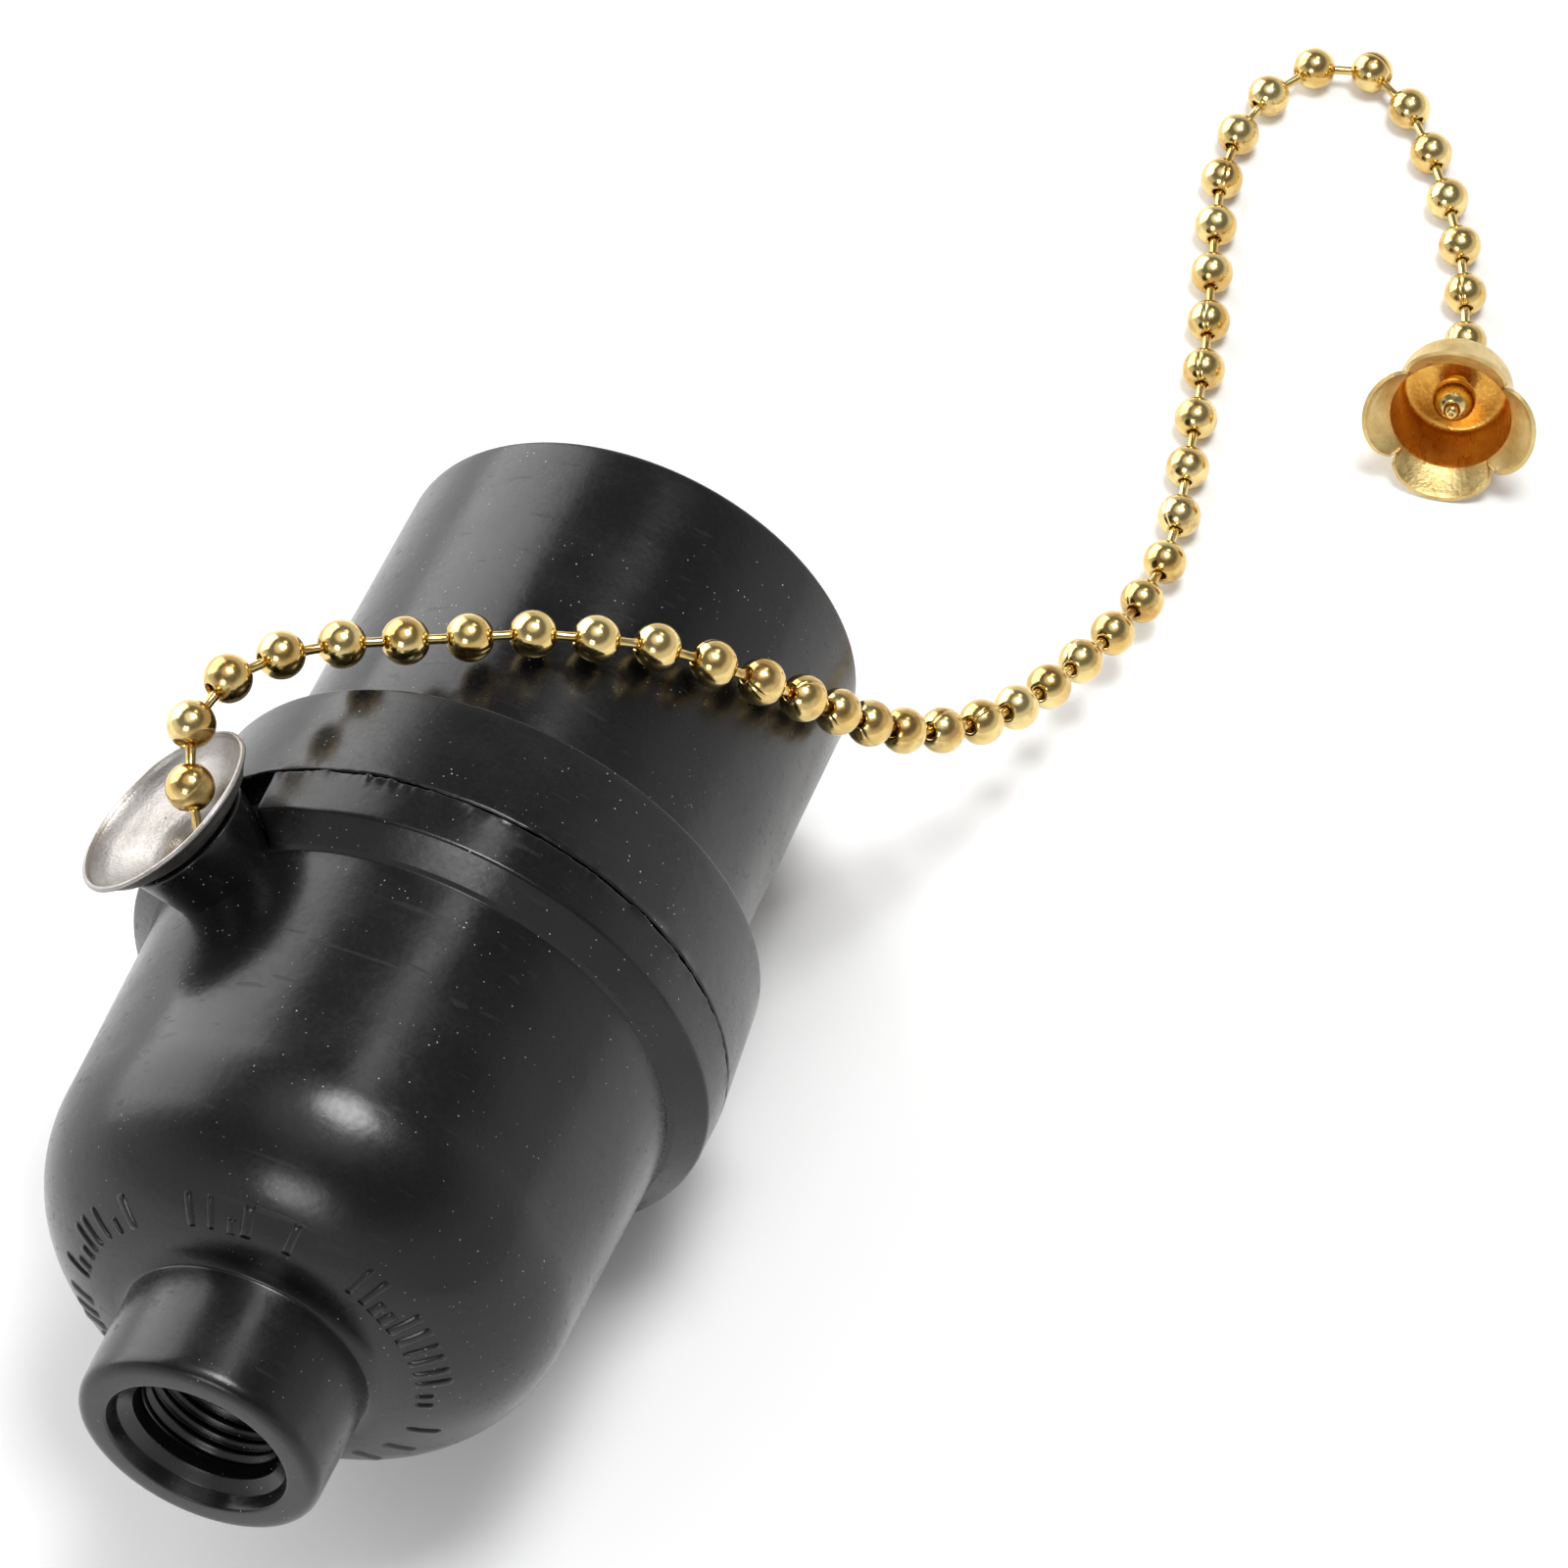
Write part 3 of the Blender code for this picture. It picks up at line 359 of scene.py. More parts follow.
class Nodes:
    """A short way to write node materials."""

    def __init__(self, name):
        self.material = bpy.data.materials.new(name)
        self.material.use_nodes = True
        self.tree = self.material.node_tree
        self.shader = self.tree.nodes["Principled BSDF"]
        self.coords = self.tree.nodes.new("ShaderNodeTexCoord").outputs["Object"]

    def plug(self, node, socket, value):
        """Link another node's output to a socket, or set the socket's own value."""
        if isinstance(value, bpy.types.NodeSocket):
            self.tree.links.new(value, node.inputs[socket])
        else:
            node.inputs[socket].default_value = value

    def within(self, place):
        """Coordinates in one of the object's own frames."""
        node = self.tree.nodes.new("ShaderNodeMapping")
        node.vector_type = "TEXTURE"
        self.plug(node, "Vector", self.coords)
        node.inputs["Location"].default_value = place.to_translation()
        node.inputs["Rotation"].default_value = place.to_euler()
        return node.outputs["Vector"]

    def stretched(self, scale, vector=None):
        node = self.tree.nodes.new("ShaderNodeMapping")
        self.plug(node, "Vector", vector or self.coords)
        node.inputs["Scale"].default_value = scale
        return node.outputs["Vector"]

    def part(self, vector, name):
        """One of the X, Y and Z parts of a vector."""
        node = self.tree.nodes.new("ShaderNodeSeparateXYZ")
        self.plug(node, "Vector", vector)
        return node.outputs[name]

    def length(self, vector):
        node = self.tree.nodes.new("ShaderNodeVectorMath")
        node.operation = "LENGTH"
        self.plug(node, 0, vector)
        return node.outputs["Value"]

    def noise(self, scale, detail=3.0, vector=None):
        node = self.tree.nodes.new("ShaderNodeTexNoise")
        self.plug(node, "Vector", vector or self.coords)
        self.plug(node, "Scale", scale)
        self.plug(node, "Detail", detail)
        self.plug(node, "Roughness", 0.55)
        return node.outputs["Fac"]

    def cells(self, scale):
        node = self.tree.nodes.new("ShaderNodeTexVoronoi")
        self.plug(node, "Vector", self.coords)
        self.plug(node, "Scale", scale)
        return node.outputs

    def span(self, value, low, high, to_low=0.0, to_high=1.0):
        """A value's place between two levels, carried over to between two others."""
        node = self.tree.nodes.new("ShaderNodeMapRange")
        for socket, number in zip(("Value", "From Min", "From Max", "To Min", "To Max"),
                                  (value, low, high, to_low, to_high)):
            self.plug(node, socket, number)
        return node.outputs["Result"]

    def math(self, operation, a, b):
        node = self.tree.nodes.new("ShaderNodeMath")
        node.operation = operation
        self.plug(node, 0, a)
        self.plug(node, 1, b)
        return node.outputs["Value"]

    def plus(self, a, b):
        return self.math("ADD", a, b)

    def minus(self, a, b):
        return self.math("SUBTRACT", a, b)

    def times(self, a, b):
        return self.math("MULTIPLY", a, b)

    def over(self, a, b):
        return self.math("GREATER_THAN", a, b)

    def under(self, a, b):
        return self.math("LESS_THAN", a, b)

    def mix(self, share, a, b):
        node = self.tree.nodes.new("ShaderNodeMix")
        node.data_type = "RGBA"
        self.plug(node, "Factor", share)
        self.plug(node, "A", a)
        self.plug(node, "B", b)
        return node.outputs["Result"]

    def bump(self, height, strength, distance, normal=None):
        node = self.tree.nodes.new("ShaderNodeBump")
        self.plug(node, "Height", height)
        self.plug(node, "Strength", strength)
        self.plug(node, "Distance", distance)
        if normal:
            self.plug(node, "Normal", normal)
        return node.outputs["Normal"]

    def set(self, **values):
        for name, value in values.items():
            self.plug(self.shader, name.replace("_", " "), value)
        return self.material


def rgb(r, g, b):
    """A linear colour from 8-bit sRGB levels."""
    def linear(v):
        v /= 255.0
        return v / 12.92 if v <= 0.04045 else ((v + 0.055) / 1.055) ** 2.4
    return (linear(r), linear(g), linear(b), 1.0)


def shaded(colour, factor):
    return [c * factor for c in colour[:3]] + [1.0]


def phenolic(name, base, dust, gloss):
    """Compression-moulded phenolic: semi-gloss, faintly mottled, with fine scratches and dust.

    dust is the share of the specks that show, and gloss is the middle of the roughness.
    """
    n = Nodes(name)
    mottle = n.noise(160.0, detail=4.0)
    grain = n.noise(2600.0, detail=2.0)
    body = n.mix(n.span(mottle, 0.35, 0.65), shaded(base, 0.82), shaded(base, 1.22))

    specks = n.cells(2300.0)
    chosen = n.over(specks["Color"], 1.0 - dust)
    speck_size = n.span(n.noise(900.0, detail=1.0), 0.3, 0.7, 0.05, 0.135)
    dot = n.under(specks["Distance"], speck_size)
    patch = n.span(n.noise(75.0, detail=2.0), 0.42, 0.58)
    speck = n.times(n.times(chosen, dot), patch)
    colour = n.mix(speck, body, rgb(178, 176, 170))

    scratch_field = n.stretched((38.0, 1500.0, 900.0))
    scratch = n.span(n.noise(1.0, detail=1.0, vector=scratch_field), 0.68, 0.72)
    cloud = n.noise(110.0, detail=4.0)
    rough = n.span(cloud, 0.3, 0.7, gloss - 0.06, gloss + 0.08)
    rough = n.plus(rough, n.times(scratch, 0.10))
    rough = n.plus(rough, n.times(n.span(grain, 0.35, 0.7), 0.05))
    rough = n.math("MAXIMUM", rough, n.times(speck, 0.85))

    normal = n.bump(n.noise(420.0), 0.10, 0.25 * MM)
    normal = n.bump(grain, 0.16, 0.03 * MM, normal)
    normal = n.bump(scratch, 0.2, 0.012 * MM, normal)
    return n.set(Base_Color=colour, Roughness=rough, Normal=normal, IOR=1.44)


def polished_brass(name):
    """Polished brass beads: pale gold, with brown clouds that are partly tarnish and partly painted
    reflection, and fine drawing lines.
    """
    n = Nodes(name)
    cloud = n.noise(300.0, detail=4.0)
    colour = n.mix(n.span(cloud, 0.36, 0.62), rgb(238, 216, 152), rgb(214, 178, 104))
    # Brown clouds, partly tarnish and partly painted reflection, stronger on some stretches of the
    # chain.
    brown_cloud_share = n.span(n.noise(640.0, detail=4.0), 0.5, 0.7, 0.0, 0.75)
    browner_stretch = n.span(n.noise(40.0), 0.4, 0.6, 0.35, 1.0)
    tarnish_and_painted_reflection = n.times(brown_cloud_share, browner_stretch)
    colour = n.mix(tarnish_and_painted_reflection, colour, rgb(158, 112, 62))
    fine = n.noise(3600.0)
    rough = n.plus(n.span(fine, 0.3, 0.7, 0.09, 0.2), n.times(tarnish_and_painted_reflection, 0.14))
    normal = n.bump(n.noise(700.0), 0.24, 0.12 * MM)
    normal = n.bump(fine, 0.12, 0.02 * MM, normal)
    return n.set(Base_Color=colour, Metallic=1.0, Roughness=rough, Normal=normal)


def within_bell_cup(n, place):
    """1 on the inner face of the bell's cup, 0 outside it, on the crown and on the petals: the mask
    for the cup's painted reflection.
    """
    height = n.part(place, "Z")
    reach = n.length(n.stretched((1.0, 1.0, 0.0), place))
    slope = (BELL_MOUTH_R - BELL_CROWN_R) / (BELL_MOUTH_Z - BELL_CROWN_Z)
    wall_at_zero = BELL_CROWN_R - BELL_CROWN_Z * slope - BELL_WALL / 2
    wall = n.plus(n.times(height, slope), wall_at_zero)
    inside = n.span(n.minus(wall, reach), -0.05 * MM, 0.05 * MM)
    crown_low, crown_high = BELL_CROWN_Z + BELL_WALL * 0.4, BELL_CROWN_Z + BELL_WALL * 0.8
    above_crown = n.span(height, crown_low, crown_high)
    below_lip = n.span(height, BELL_MOUTH_Z - 0.5 * MM, BELL_MOUTH_Z + 0.2 * MM, 1.0, 0.0)
    return n.times(n.times(inside, above_crown), below_lip)


def brushed_brass(name):
    """The bell: grainy satin outside and on its petals; within its cup a deeper warm gold, a
    painted reflection of light bouncing between the cup's walls.
    """
    n = Nodes(name)
    place = n.within(FRAMES["bell"])
    inside = within_bell_cup(n, place)
    lines = n.noise(1.0, vector=n.stretched((2600.0, 2600.0, 150.0), place))
    grain = n.noise(3400.0)
    cloud = n.span(n.noise(420.0), 0.35, 0.65)
    outer = n.mix(cloud, rgb(224, 200, 142), rgb(194, 164, 104))
    # The inner colours are painted reflection: light bouncing inside the cup, painted in as a
    # deeper gold.
    cup_painted_reflection = n.mix(cloud, rgb(238, 186, 92), rgb(216, 154, 66))
    colour = n.mix(inside, outer, cup_painted_reflection)
    rough = n.minus(n.span(lines, 0.3, 0.7, 0.32, 0.5), n.times(inside, 0.1))
    normal = n.bump(lines, 0.2, 0.03 * MM)
    normal = n.bump(grain, 0.8, 0.05 * MM, normal)
    return n.set(Base_Color=colour, Metallic=1.0, Roughness=rough, Normal=normal)


def satin_aluminium(name):
    """Tumbled aluminium: a light grey satin with a fine orange-peel grain and small pits."""
    n = Nodes(name)
    grain = n.noise(4800.0)
    cloud = n.noise(330.0)
    colour = n.mix(n.span(cloud, 0.35, 0.65), rgb(172, 168, 164), rgb(150, 145, 140))
    pits = n.cells(1500.0)
    pit = n.times(n.over(pits["Color"], 0.86), n.under(pits["Distance"], 0.16))
    colour = n.mix(pit, colour, rgb(120, 112, 104))
    rough = n.span(grain, 0.3, 0.7, 0.34, 0.5)
    normal = n.bump(grain, 0.7, 0.04 * MM)
    return n.set(Base_Color=colour, Metallic=1.0, Roughness=rough, Normal=normal)


def plated_steel(name):
    """Zinc-plated steel: cool grey with soft crystalline patches."""
    n = Nodes(name)
    patch = n.cells(700.0)
    colour = n.mix(patch["Distance"], rgb(188, 190, 194), rgb(154, 156, 160))
    rough = n.span(n.noise(1900.0), 0.3, 0.7, 0.22, 0.4)
    normal = n.bump(n.noise(2400.0, detail=2.0), 0.2, 0.03 * MM)
    return n.set(Base_Color=colour, Metallic=1.0, Roughness=rough, Normal=normal)


def spring_bronze(name):
    """Phosphor bronze strip, rolled along its length."""
    n = Nodes(name)
    lines = n.noise(1.0, vector=n.stretched((2600.0, 260.0, 2600.0)))
    cloud = n.span(n.noise(500.0), 0.3, 0.7)
    colour = n.mix(cloud, rgb(206, 150, 92), rgb(182, 124, 70))
    rough = n.span(lines, 0.3, 0.7, 0.24, 0.4)
    normal = n.bump(lines, 0.2, 0.02 * MM)
    return n.set(Base_Color=colour, Metallic=1.0, Roughness=rough, Normal=normal)


def white_nylon(name):
    """Moulded nylon: milky white, slightly translucent, faintly stippled."""
    n = Nodes(name)
    colour = n.mix(n.noise(260.0), rgb(226, 222, 208), rgb(238, 236, 228))
    rough = n.span(n.noise(900.0, detail=2.0), 0.3, 0.7, 0.38, 0.52)
    normal = n.bump(n.noise(1400.0, detail=2.0), 0.2, 0.03 * MM)
    return n.set(Base_Color=colour, Roughness=rough, Normal=normal, Subsurface_Weight=0.15,
                 Subsurface_Scale=0.8 * MM)


def floor_paper(name):
    """Matt white paper with the faintest cloudiness."""
    n = Nodes(name)
    colour = n.mix(n.noise(30.0, detail=2.0), (0.93, 0.93, 0.93, 1.0), (0.955, 0.955, 0.955, 1.0))
    normal = n.bump(n.noise(900.0, detail=2.0), 0.05, 0.05 * MM)
    return n.set(Base_Color=colour, Roughness=0.9, Normal=normal)


MATERIALS = {
    "black_phenolic": phenolic("black_phenolic_look", rgb(12, 12, 13), dust=0.42, gloss=0.22),
    "brown_phenolic": phenolic("brown_phenolic_look", rgb(70, 44, 30), dust=0.10, gloss=0.38),
    "brass": polished_brass("brass_look"),
    "bell_brass": brushed_brass("bell_brass_look"),
    "satin_aluminium": satin_aluminium("satin_aluminium_look"),
    "plated_steel": plated_steel("plated_steel_look"),
    "spring_bronze": spring_bronze("spring_bronze_look"),
    "white_nylon": white_nylon("white_nylon_look"),
}


def dress(obj, material, body, nodes=()):
    """Give a new piece its material, the body it rides on, and the CAD nodes it stands for."""
    obj.data.materials.clear()
    obj.data.materials.append(MATERIALS[material])
    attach(obj, body)
    if nodes:
        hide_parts(*nodes)
    return obj


# ---------------------------------------------------------------- the free chain

def smooth_route(route, substeps=24):
    """Points on one smooth curve through the route's own points, in metres."""
    knots = [Vector(p) * MM for p in route]
    knots = [2 * knots[0] - knots[1]] + knots + [2 * knots[-1] - knots[-2]]
    fine = []
    for before, start, end, after in zip(knots, knots[1:], knots[2:], knots[3:]):
        for i in range(substeps):
            t = i / substeps
            bend = 2 * before - 5 * start + 4 * end - after
            twist = 3 * start - before - 3 * end + after
            fine.append(0.5 * (2 * start + (end - before) * t + bend * t * t + twist * t ** 3))
    fine.append(knots[-2])
    return fine


def path_length(points):
    return sum((b - a).length for a, b in zip(points, points[1:]))


def point_along(points, distance):
    """The point and the heading at a distance along the points, or just before their start."""
    if distance <= 0.0:
        heading = (points[1] - points[0]).normalized()
        return points[0] + heading * distance, heading
    for a, b in zip(points, points[1:]):
        step = (b - a).length
        if distance <= step:
            return a + (b - a) * (distance / step), (b - a).normalized()
        distance -= step
    return points[-1], (points[-1] - points[-2]).normalized()


def bead_distances(length):
    """Where the beads sit along the chain: close on the slack near stretch, wider further on."""
    def pitch(distance):
        share = (distance - PITCH_CHANGES[0]) / (PITCH_CHANGES[1] - PITCH_CHANGES[0])
        share = clamped(share)
        return NEAR_PITCH + (FAR_PITCH - NEAR_PITCH) * share * share * (3.0 - 2.0 * share)

    distances = [FIRST_BEAD]
    while distances[-1] < length - FAR_PITCH / 2:
        distances.append(distances[-1] + pitch(distances[-1]))
    scale = (length - FIRST_BEAD) / (distances[-1] - FIRST_BEAD)
    return [THROAT_BEAD] + [FIRST_BEAD + (d - FIRST_BEAD) * scale for d in distances[1:]]


def bead_outline():
    """Half a hollow bead from hole to hole: a small turned-in lip at each end."""
    hole = math.asin(BEAD_HOLE_R / BEAD_R)
    lip = [(0.46 * MM, -1.28 * MM), (0.50 * MM, -1.42 * MM), (0.56 * MM, -1.475 * MM)]
    side = arc((0.0, 0.0), BEAD_R, hole - math.pi / 2, math.pi / 2 - hole, 22)
    return lip + side + [(r, -z) for r, z in reversed(lip)]


def bead_angles():
    """Even columns, with three close ones for the seam where the bead was rolled shut."""
    seam = [-SEAM_HALF_ANGLE, 0.0, SEAM_HALF_ANGLE]
    return seam + [TURN * i / BEAD_COLUMNS for i in range(1, BEAD_COLUMNS)]


def seamed(r, z, angle):
    """A shallow groove along the seam's middle column."""
    if angle == 0.0 and r > 0.6 * MM:
        return r - SEAM_DEPTH, z
    return r, z


def place_turned(target, outline, angles, form, centre, heading, roll):
    """Add a turned form to target at a place, its axis along the heading."""
    verts, faces = lathe(outline, angles, form, closed=False)
    turn = heading.to_track_quat("Z", "Y").to_matrix() @ Matrix.Rotation(roll, 3, "Z")
    base = len(target[0])
    target[0].extend(turn @ v + centre for v in verts)
    target[1].extend([base + k for k in face] for face in faces)


def link_between(target, start, end, roll):
    """The thin dumbbell link between two beads, with the neck of its head at each end."""
    way = (end - start).normalized()
    span = (end - start).length
    reach = BEAD_R - 0.35 * MM
    outline = [(LINK_R * width, reach + (span - 2 * reach) * share) for share, width in LINK_SHAPE]
    place_turned(target, outline, even_angles(LINK_COLUMNS), None, start, way, roll)


def make_free_chain():
    route = smooth_route(CHAIN_ROUTE)
    length = path_length(route)
    centres = [point_along(route, distance) for distance in bead_distances(length)]
    dice = random.Random(5)
    target = ([], [])
    outline, angles = bead_outline(), bead_angles()
    for place, heading in centres:
        place_turned(target, outline, angles, seamed, place, heading, dice.uniform(0.0, TURN))
    for (a, _), (b, _) in zip(centres, centres[1:]):
        link_between(target, a, b, dice.uniform(0.0, TURN))
    chain = add_mesh("free_chain_beads", *target)
    chain.data.materials.append(MATERIALS["brass"])
    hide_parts("free_chain")
    return chain, route, length


# ---------------------------------------------------------------- the bell on the chain's end

def bell_side():
    """The bell's outer side, from the crown's hole to the tips of the petals."""
    side = rounded([
        (BELL_HOLE_R, BELL_CROWN_Z + 0.22 * MM, 0.0),
        (0.85 * MM, BELL_CROWN_Z, 0.2 * MM),
        (BELL_CROWN_R, BELL_CROWN_Z, 0.95 * MM),
        (BELL_MOUTH_R - 0.05 * MM, BELL_LIP_Z, 0.35 * MM),
        (BELL_LIP_R, BELL_PETAL_Z, 0.0),
    ], 8)
    return refined(side, 0.22 * MM)


def petalled(r, z, angle):
    """Rounded lobes beyond the mouth, rolled outwards, with a nick between each pair."""
    if z <= BELL_LIP_Z or r < 3.0 * MM:
        return r, z
    spread = min(1.0, (z - BELL_LIP_Z) / (BELL_PETAL_Z - BELL_LIP_Z))
    across = (angle / (TURN / BELL_PETALS) + 0.5) % 1.0 * 2.0 - 1.0
    lobe = math.sqrt(max(0.0, 1.0 - abs(across) ** 2.4))
    reach = r + (BELL_PETAL_R - BELL_LIP_R) * lobe * spread
    nick = (1.0 - lobe) * spread
    roll = 0.12 * MM * spread ** 3 * lobe
    return reach - 0.1 * MM * nick, z - BELL_NICK * nick - roll


def make_bell():
    """The four-petalled bell: a drawn cup with a rounded crown, its lip cut and rolled out."""
    outer = bell_side()
    cup_painted_reflection = []
    for k, (r, z) in reversed(list(enumerate(outer))):
        before, after = outer[max(k - 1, 0)], outer[min(k + 1, len(outer) - 1)]
        way = Vector((after[0] - before[0], after[1] - before[1])).normalized()
        cup_painted_reflection.append((max(r - way.y * BELL_WALL, BELL_HOLE_R), z + way.x * BELL_WALL))
    verts, faces = lathe(outer + cup_painted_reflection, even_angles(240), petalled)
    bell = add_mesh("bell_shell", verts, faces, FRAMES["bell"], 50.0)
    return dress(bell, "bell_brass", "bell", ["bell"])


def pin_head(centre_z):
    """The flattened head of the chain's last link, hollowed a little at its end."""
    dome = arc((0.0, centre_z), PIN_HEAD_R, math.radians(-66.0), math.radians(72.0), 12)
    hollow = [(0.18 * MM, 0.6 * MM), (0.16 * MM, 0.35 * MM), (0.0, 0.3 * MM)]
    return dome + [(r, centre_z + z) for r, z in hollow]


def make_bell_bead():
    """The chain's last two beads, one outside the bell and one inside, and the last link's head."""
    target = ([], [])
    centre, way = Vector(), Vector((0.0, 0.0, 1.0))
    outer_z = BELL_CROWN_Z - 2.05 * MM
    inner_z = BELL_CROWN_Z + 2.3 * MM
    for z, roll in ((outer_z, 1.9), (inner_z, 3.6)):
        place_turned(target, bead_outline(), bead_angles(), seamed, way * z, way, roll)
    bead_end = 1.3 * MM
    for low, high in ((0.7 * MM, outer_z - bead_end), (outer_z + bead_end, inner_z - bead_end)):
        neck = [(LINK_R * 0.9, low), (LINK_R * 0.9, high)]
        place_turned(target, neck, even_angles(LINK_COLUMNS), None, centre, way, 0.0)
    head = pin_head(inner_z + 1.7 * MM)
    place_turned(target, head, even_angles(28), None, centre, way, 0.0)
    bead = add_mesh("bell_pin_bead", *target, FRAMES["bell"])
    return dress(bead, "brass", "bell_bead", ["bell_bead"])


# ---------------------------------------------------------------- cap

def socket_angles():
    """Columns round the socket, closer together on the guide's side."""
    near = math.radians(80.0)
    close = [-near + 2 * near * i / 360 for i in range(361)]
    rest = [near + (TURN - 2 * near) * i / 200 for i in range(1, 200)]
    return close + rest


def notch_share(r, z, angle):
    """0 in the flange's notch, 1 away from it; the notch follows the guide's round side."""
    if math.cos(angle) <= 0.0:
        return 1.0
    side = math.sqrt(max(0.0, NOTCH_ROUND_R ** 2 - (z - GUIDE_Z) ** 2))
    across = clamped((abs(r * math.sin(angle)) - max(NOTCH_HALF, side)) / NOTCH_EDGE)
    return (1.0 - (1.0 - across) ** 3) ** (1.0 / 3.0)


def flash_share(r, z, joint_face):
    """1 on a joint face's outer edge, falling to 0 where the flash ends."""
    if r <= SPIGOT_R + 2.0 * MM:
        return 0.0
    return max(0.0, 1.0 - abs(z - joint_face) / FLASH_REACH)


def dome_arc():
    """The dome's corner arc: its centre's radius and height, and the angle to the neck's root."""
    reach = math.acos((NECK_ROOT_R - DOME_CENTRE_R) / DOME_CORNER_R)
    return DOME_CENTRE_R, NECK_LENGTH + DOME_CORNER_R * math.sin(reach), reach


def cap_outside():
    """The cap's outline from the bore's mouth over the neck, dome and flange to the joint."""
    centre_r, centre_z, reach = dome_arc()
    dome = arc((centre_r, centre_z), DOME_CORNER_R, -reach, 0.0, 32)
    joint_face = JOINT_Z - LINE
    neck = rounded([
        (5.0 * MM, 2.75 * MM, 0.0),
        (5.15 * MM, 1.7 * MM, 0.15 * MM),
        (6.0 * MM, 1.05 * MM, 0.2 * MM),
        (6.35 * MM, 0.0, 0.25 * MM),
        (NECK_R, 0.0, 1.0 * MM),
        (NECK_R + 0.12 * MM, NECK_LENGTH - 0.25 * MM, 0.3 * MM),
        (NECK_ROOT_R, NECK_LENGTH - 0.02 * MM, 0.0),
    ], 6)
    flange = rounded([
        (BODY_R, centre_z + 0.3 * MM, 0.0),
        (BODY_TOP_R - 0.03 * MM, FLANGE_BOTTOM_Z - 2.25 * MM, 0.1 * MM),
        (BODY_TOP_R + 0.34 * MM, FLANGE_BOTTOM_Z - 2.05 * MM, 0.12 * MM),
        (FLANGE_R - 0.1 * MM, FLANGE_BOTTOM_Z - 0.55 * MM, 0.45 * MM),
        (FLANGE_R, joint_face, 0.2 * MM),
        (SPIGOT_R, joint_face, 0.0),
    ], 7)
    return refined(neck, 0.6 * MM)[:-1] + dome + refined(flange, 0.55 * MM)


def cap_inside():
    """The cap's outline from the spigot's top down the cavity to the bore."""
    corner_r = CAVITY_R - DOME_CENTRE_R
    corner = arc((DOME_CENTRE_R, CAVITY_Z + corner_r), corner_r, 0.0, -math.pi / 2, 12)
    spigot_top = [(SPIGOT_R, SPIGOT_TOP_Z), (CAVITY_R, SPIGOT_TOP_Z)]
    return spigot_top + corner + [(5.4 * MM, CAVITY_Z), (5.0 * MM, CAVITY_Z - 0.4 * MM)]


def cap_form(r, z, angle):
    """The flange's notch, the ragged flash on the joint line and a slight unevenness."""
    joint_face = JOINT_Z - LINE
    notch_bottom = FLANGE_BOTTOM_Z - 2.35 * MM
    if notch_bottom < z < joint_face + 0.01 * MM and r > BODY_TOP_R:
        body = BODY_TOP_R + 0.02 * MM
        r = body + (r - body) * notch_share(r, z, angle)
    point = turned_point(r, z, angle)
    near = flash_share(r, z, joint_face)
    if near:
        flash = ripple(point, 1.1 * MM, seed=3.0) + 0.8 * ripple(point, 0.45 * MM, seed=9.0)
        patch = FLASH_BASE + 1.3 * max(0.0, ripple(point, 9.0 * MM, seed=13.0) + 0.15)
        chip = max(0.0, ripple(point, 2.6 * MM, seed=17.0) - 0.42)
        r += near * MM * (0.32 * patch * max(flash, FLASH_LEAST) - 0.4 * chip)
        z += near * MM * (0.05 * ripple(point, 1.3 * MM, seed=5.0) - 0.35 * chip)
    if r > NECK_R:
        r += 0.035 * MM * ripple(point, 6.0 * MM, seed=1.0)
        r += 0.008 * MM * ripple(point, 2.2 * MM, seed=2.0)
    return r, z


def bore_thread():
    """The bore's internal thread as one continuous helix."""
    low, high = 2.6 * MM, CAVITY_Z - 0.3 * MM
    columns, rows = 96, 120
    verts, faces = [], []
    for k in range(rows + 1):
        z = low + (high - low) * k / rows
        fade = min(1.0, (z - low) / (0.5 * MM) + 0.25)
        for i in range(columns):
            phase = (z / BORE_PITCH - i / columns) % 1.0
            crest = clamped(1.35 * abs(2.0 * phase - 1.0) - 0.12)
            r = BORE_ROOT_R - BORE_DEPTH * crest * fade
            verts.append(Vector(turned_point(r, z, TURN * i / columns)))
    for k in range(rows):
        low_row, high_row = k * columns, (k + 1) * columns
        for i in range(columns):
            j = (i + 1) % columns
            faces.append([low_row + i, low_row + j, high_row + j, high_row + i])
    return verts, faces


def make_cap():
    """The domed cap with its neck, flange and spigot, and the thread in its bore."""
    verts, faces = lathe(cap_outside() + cap_inside(), socket_angles(), cap_form, closed=False)
    base = len(verts)
    thread_verts, thread_faces = bore_thread()
    verts += thread_verts
    faces += [[base + k for k in face] for face in thread_faces]
    cap = add_mesh("cap_moulding", verts, faces, FRAMES["socket"], 58.0)
    return dress(cap, "black_phenolic", "socket", nodes=["cap"])


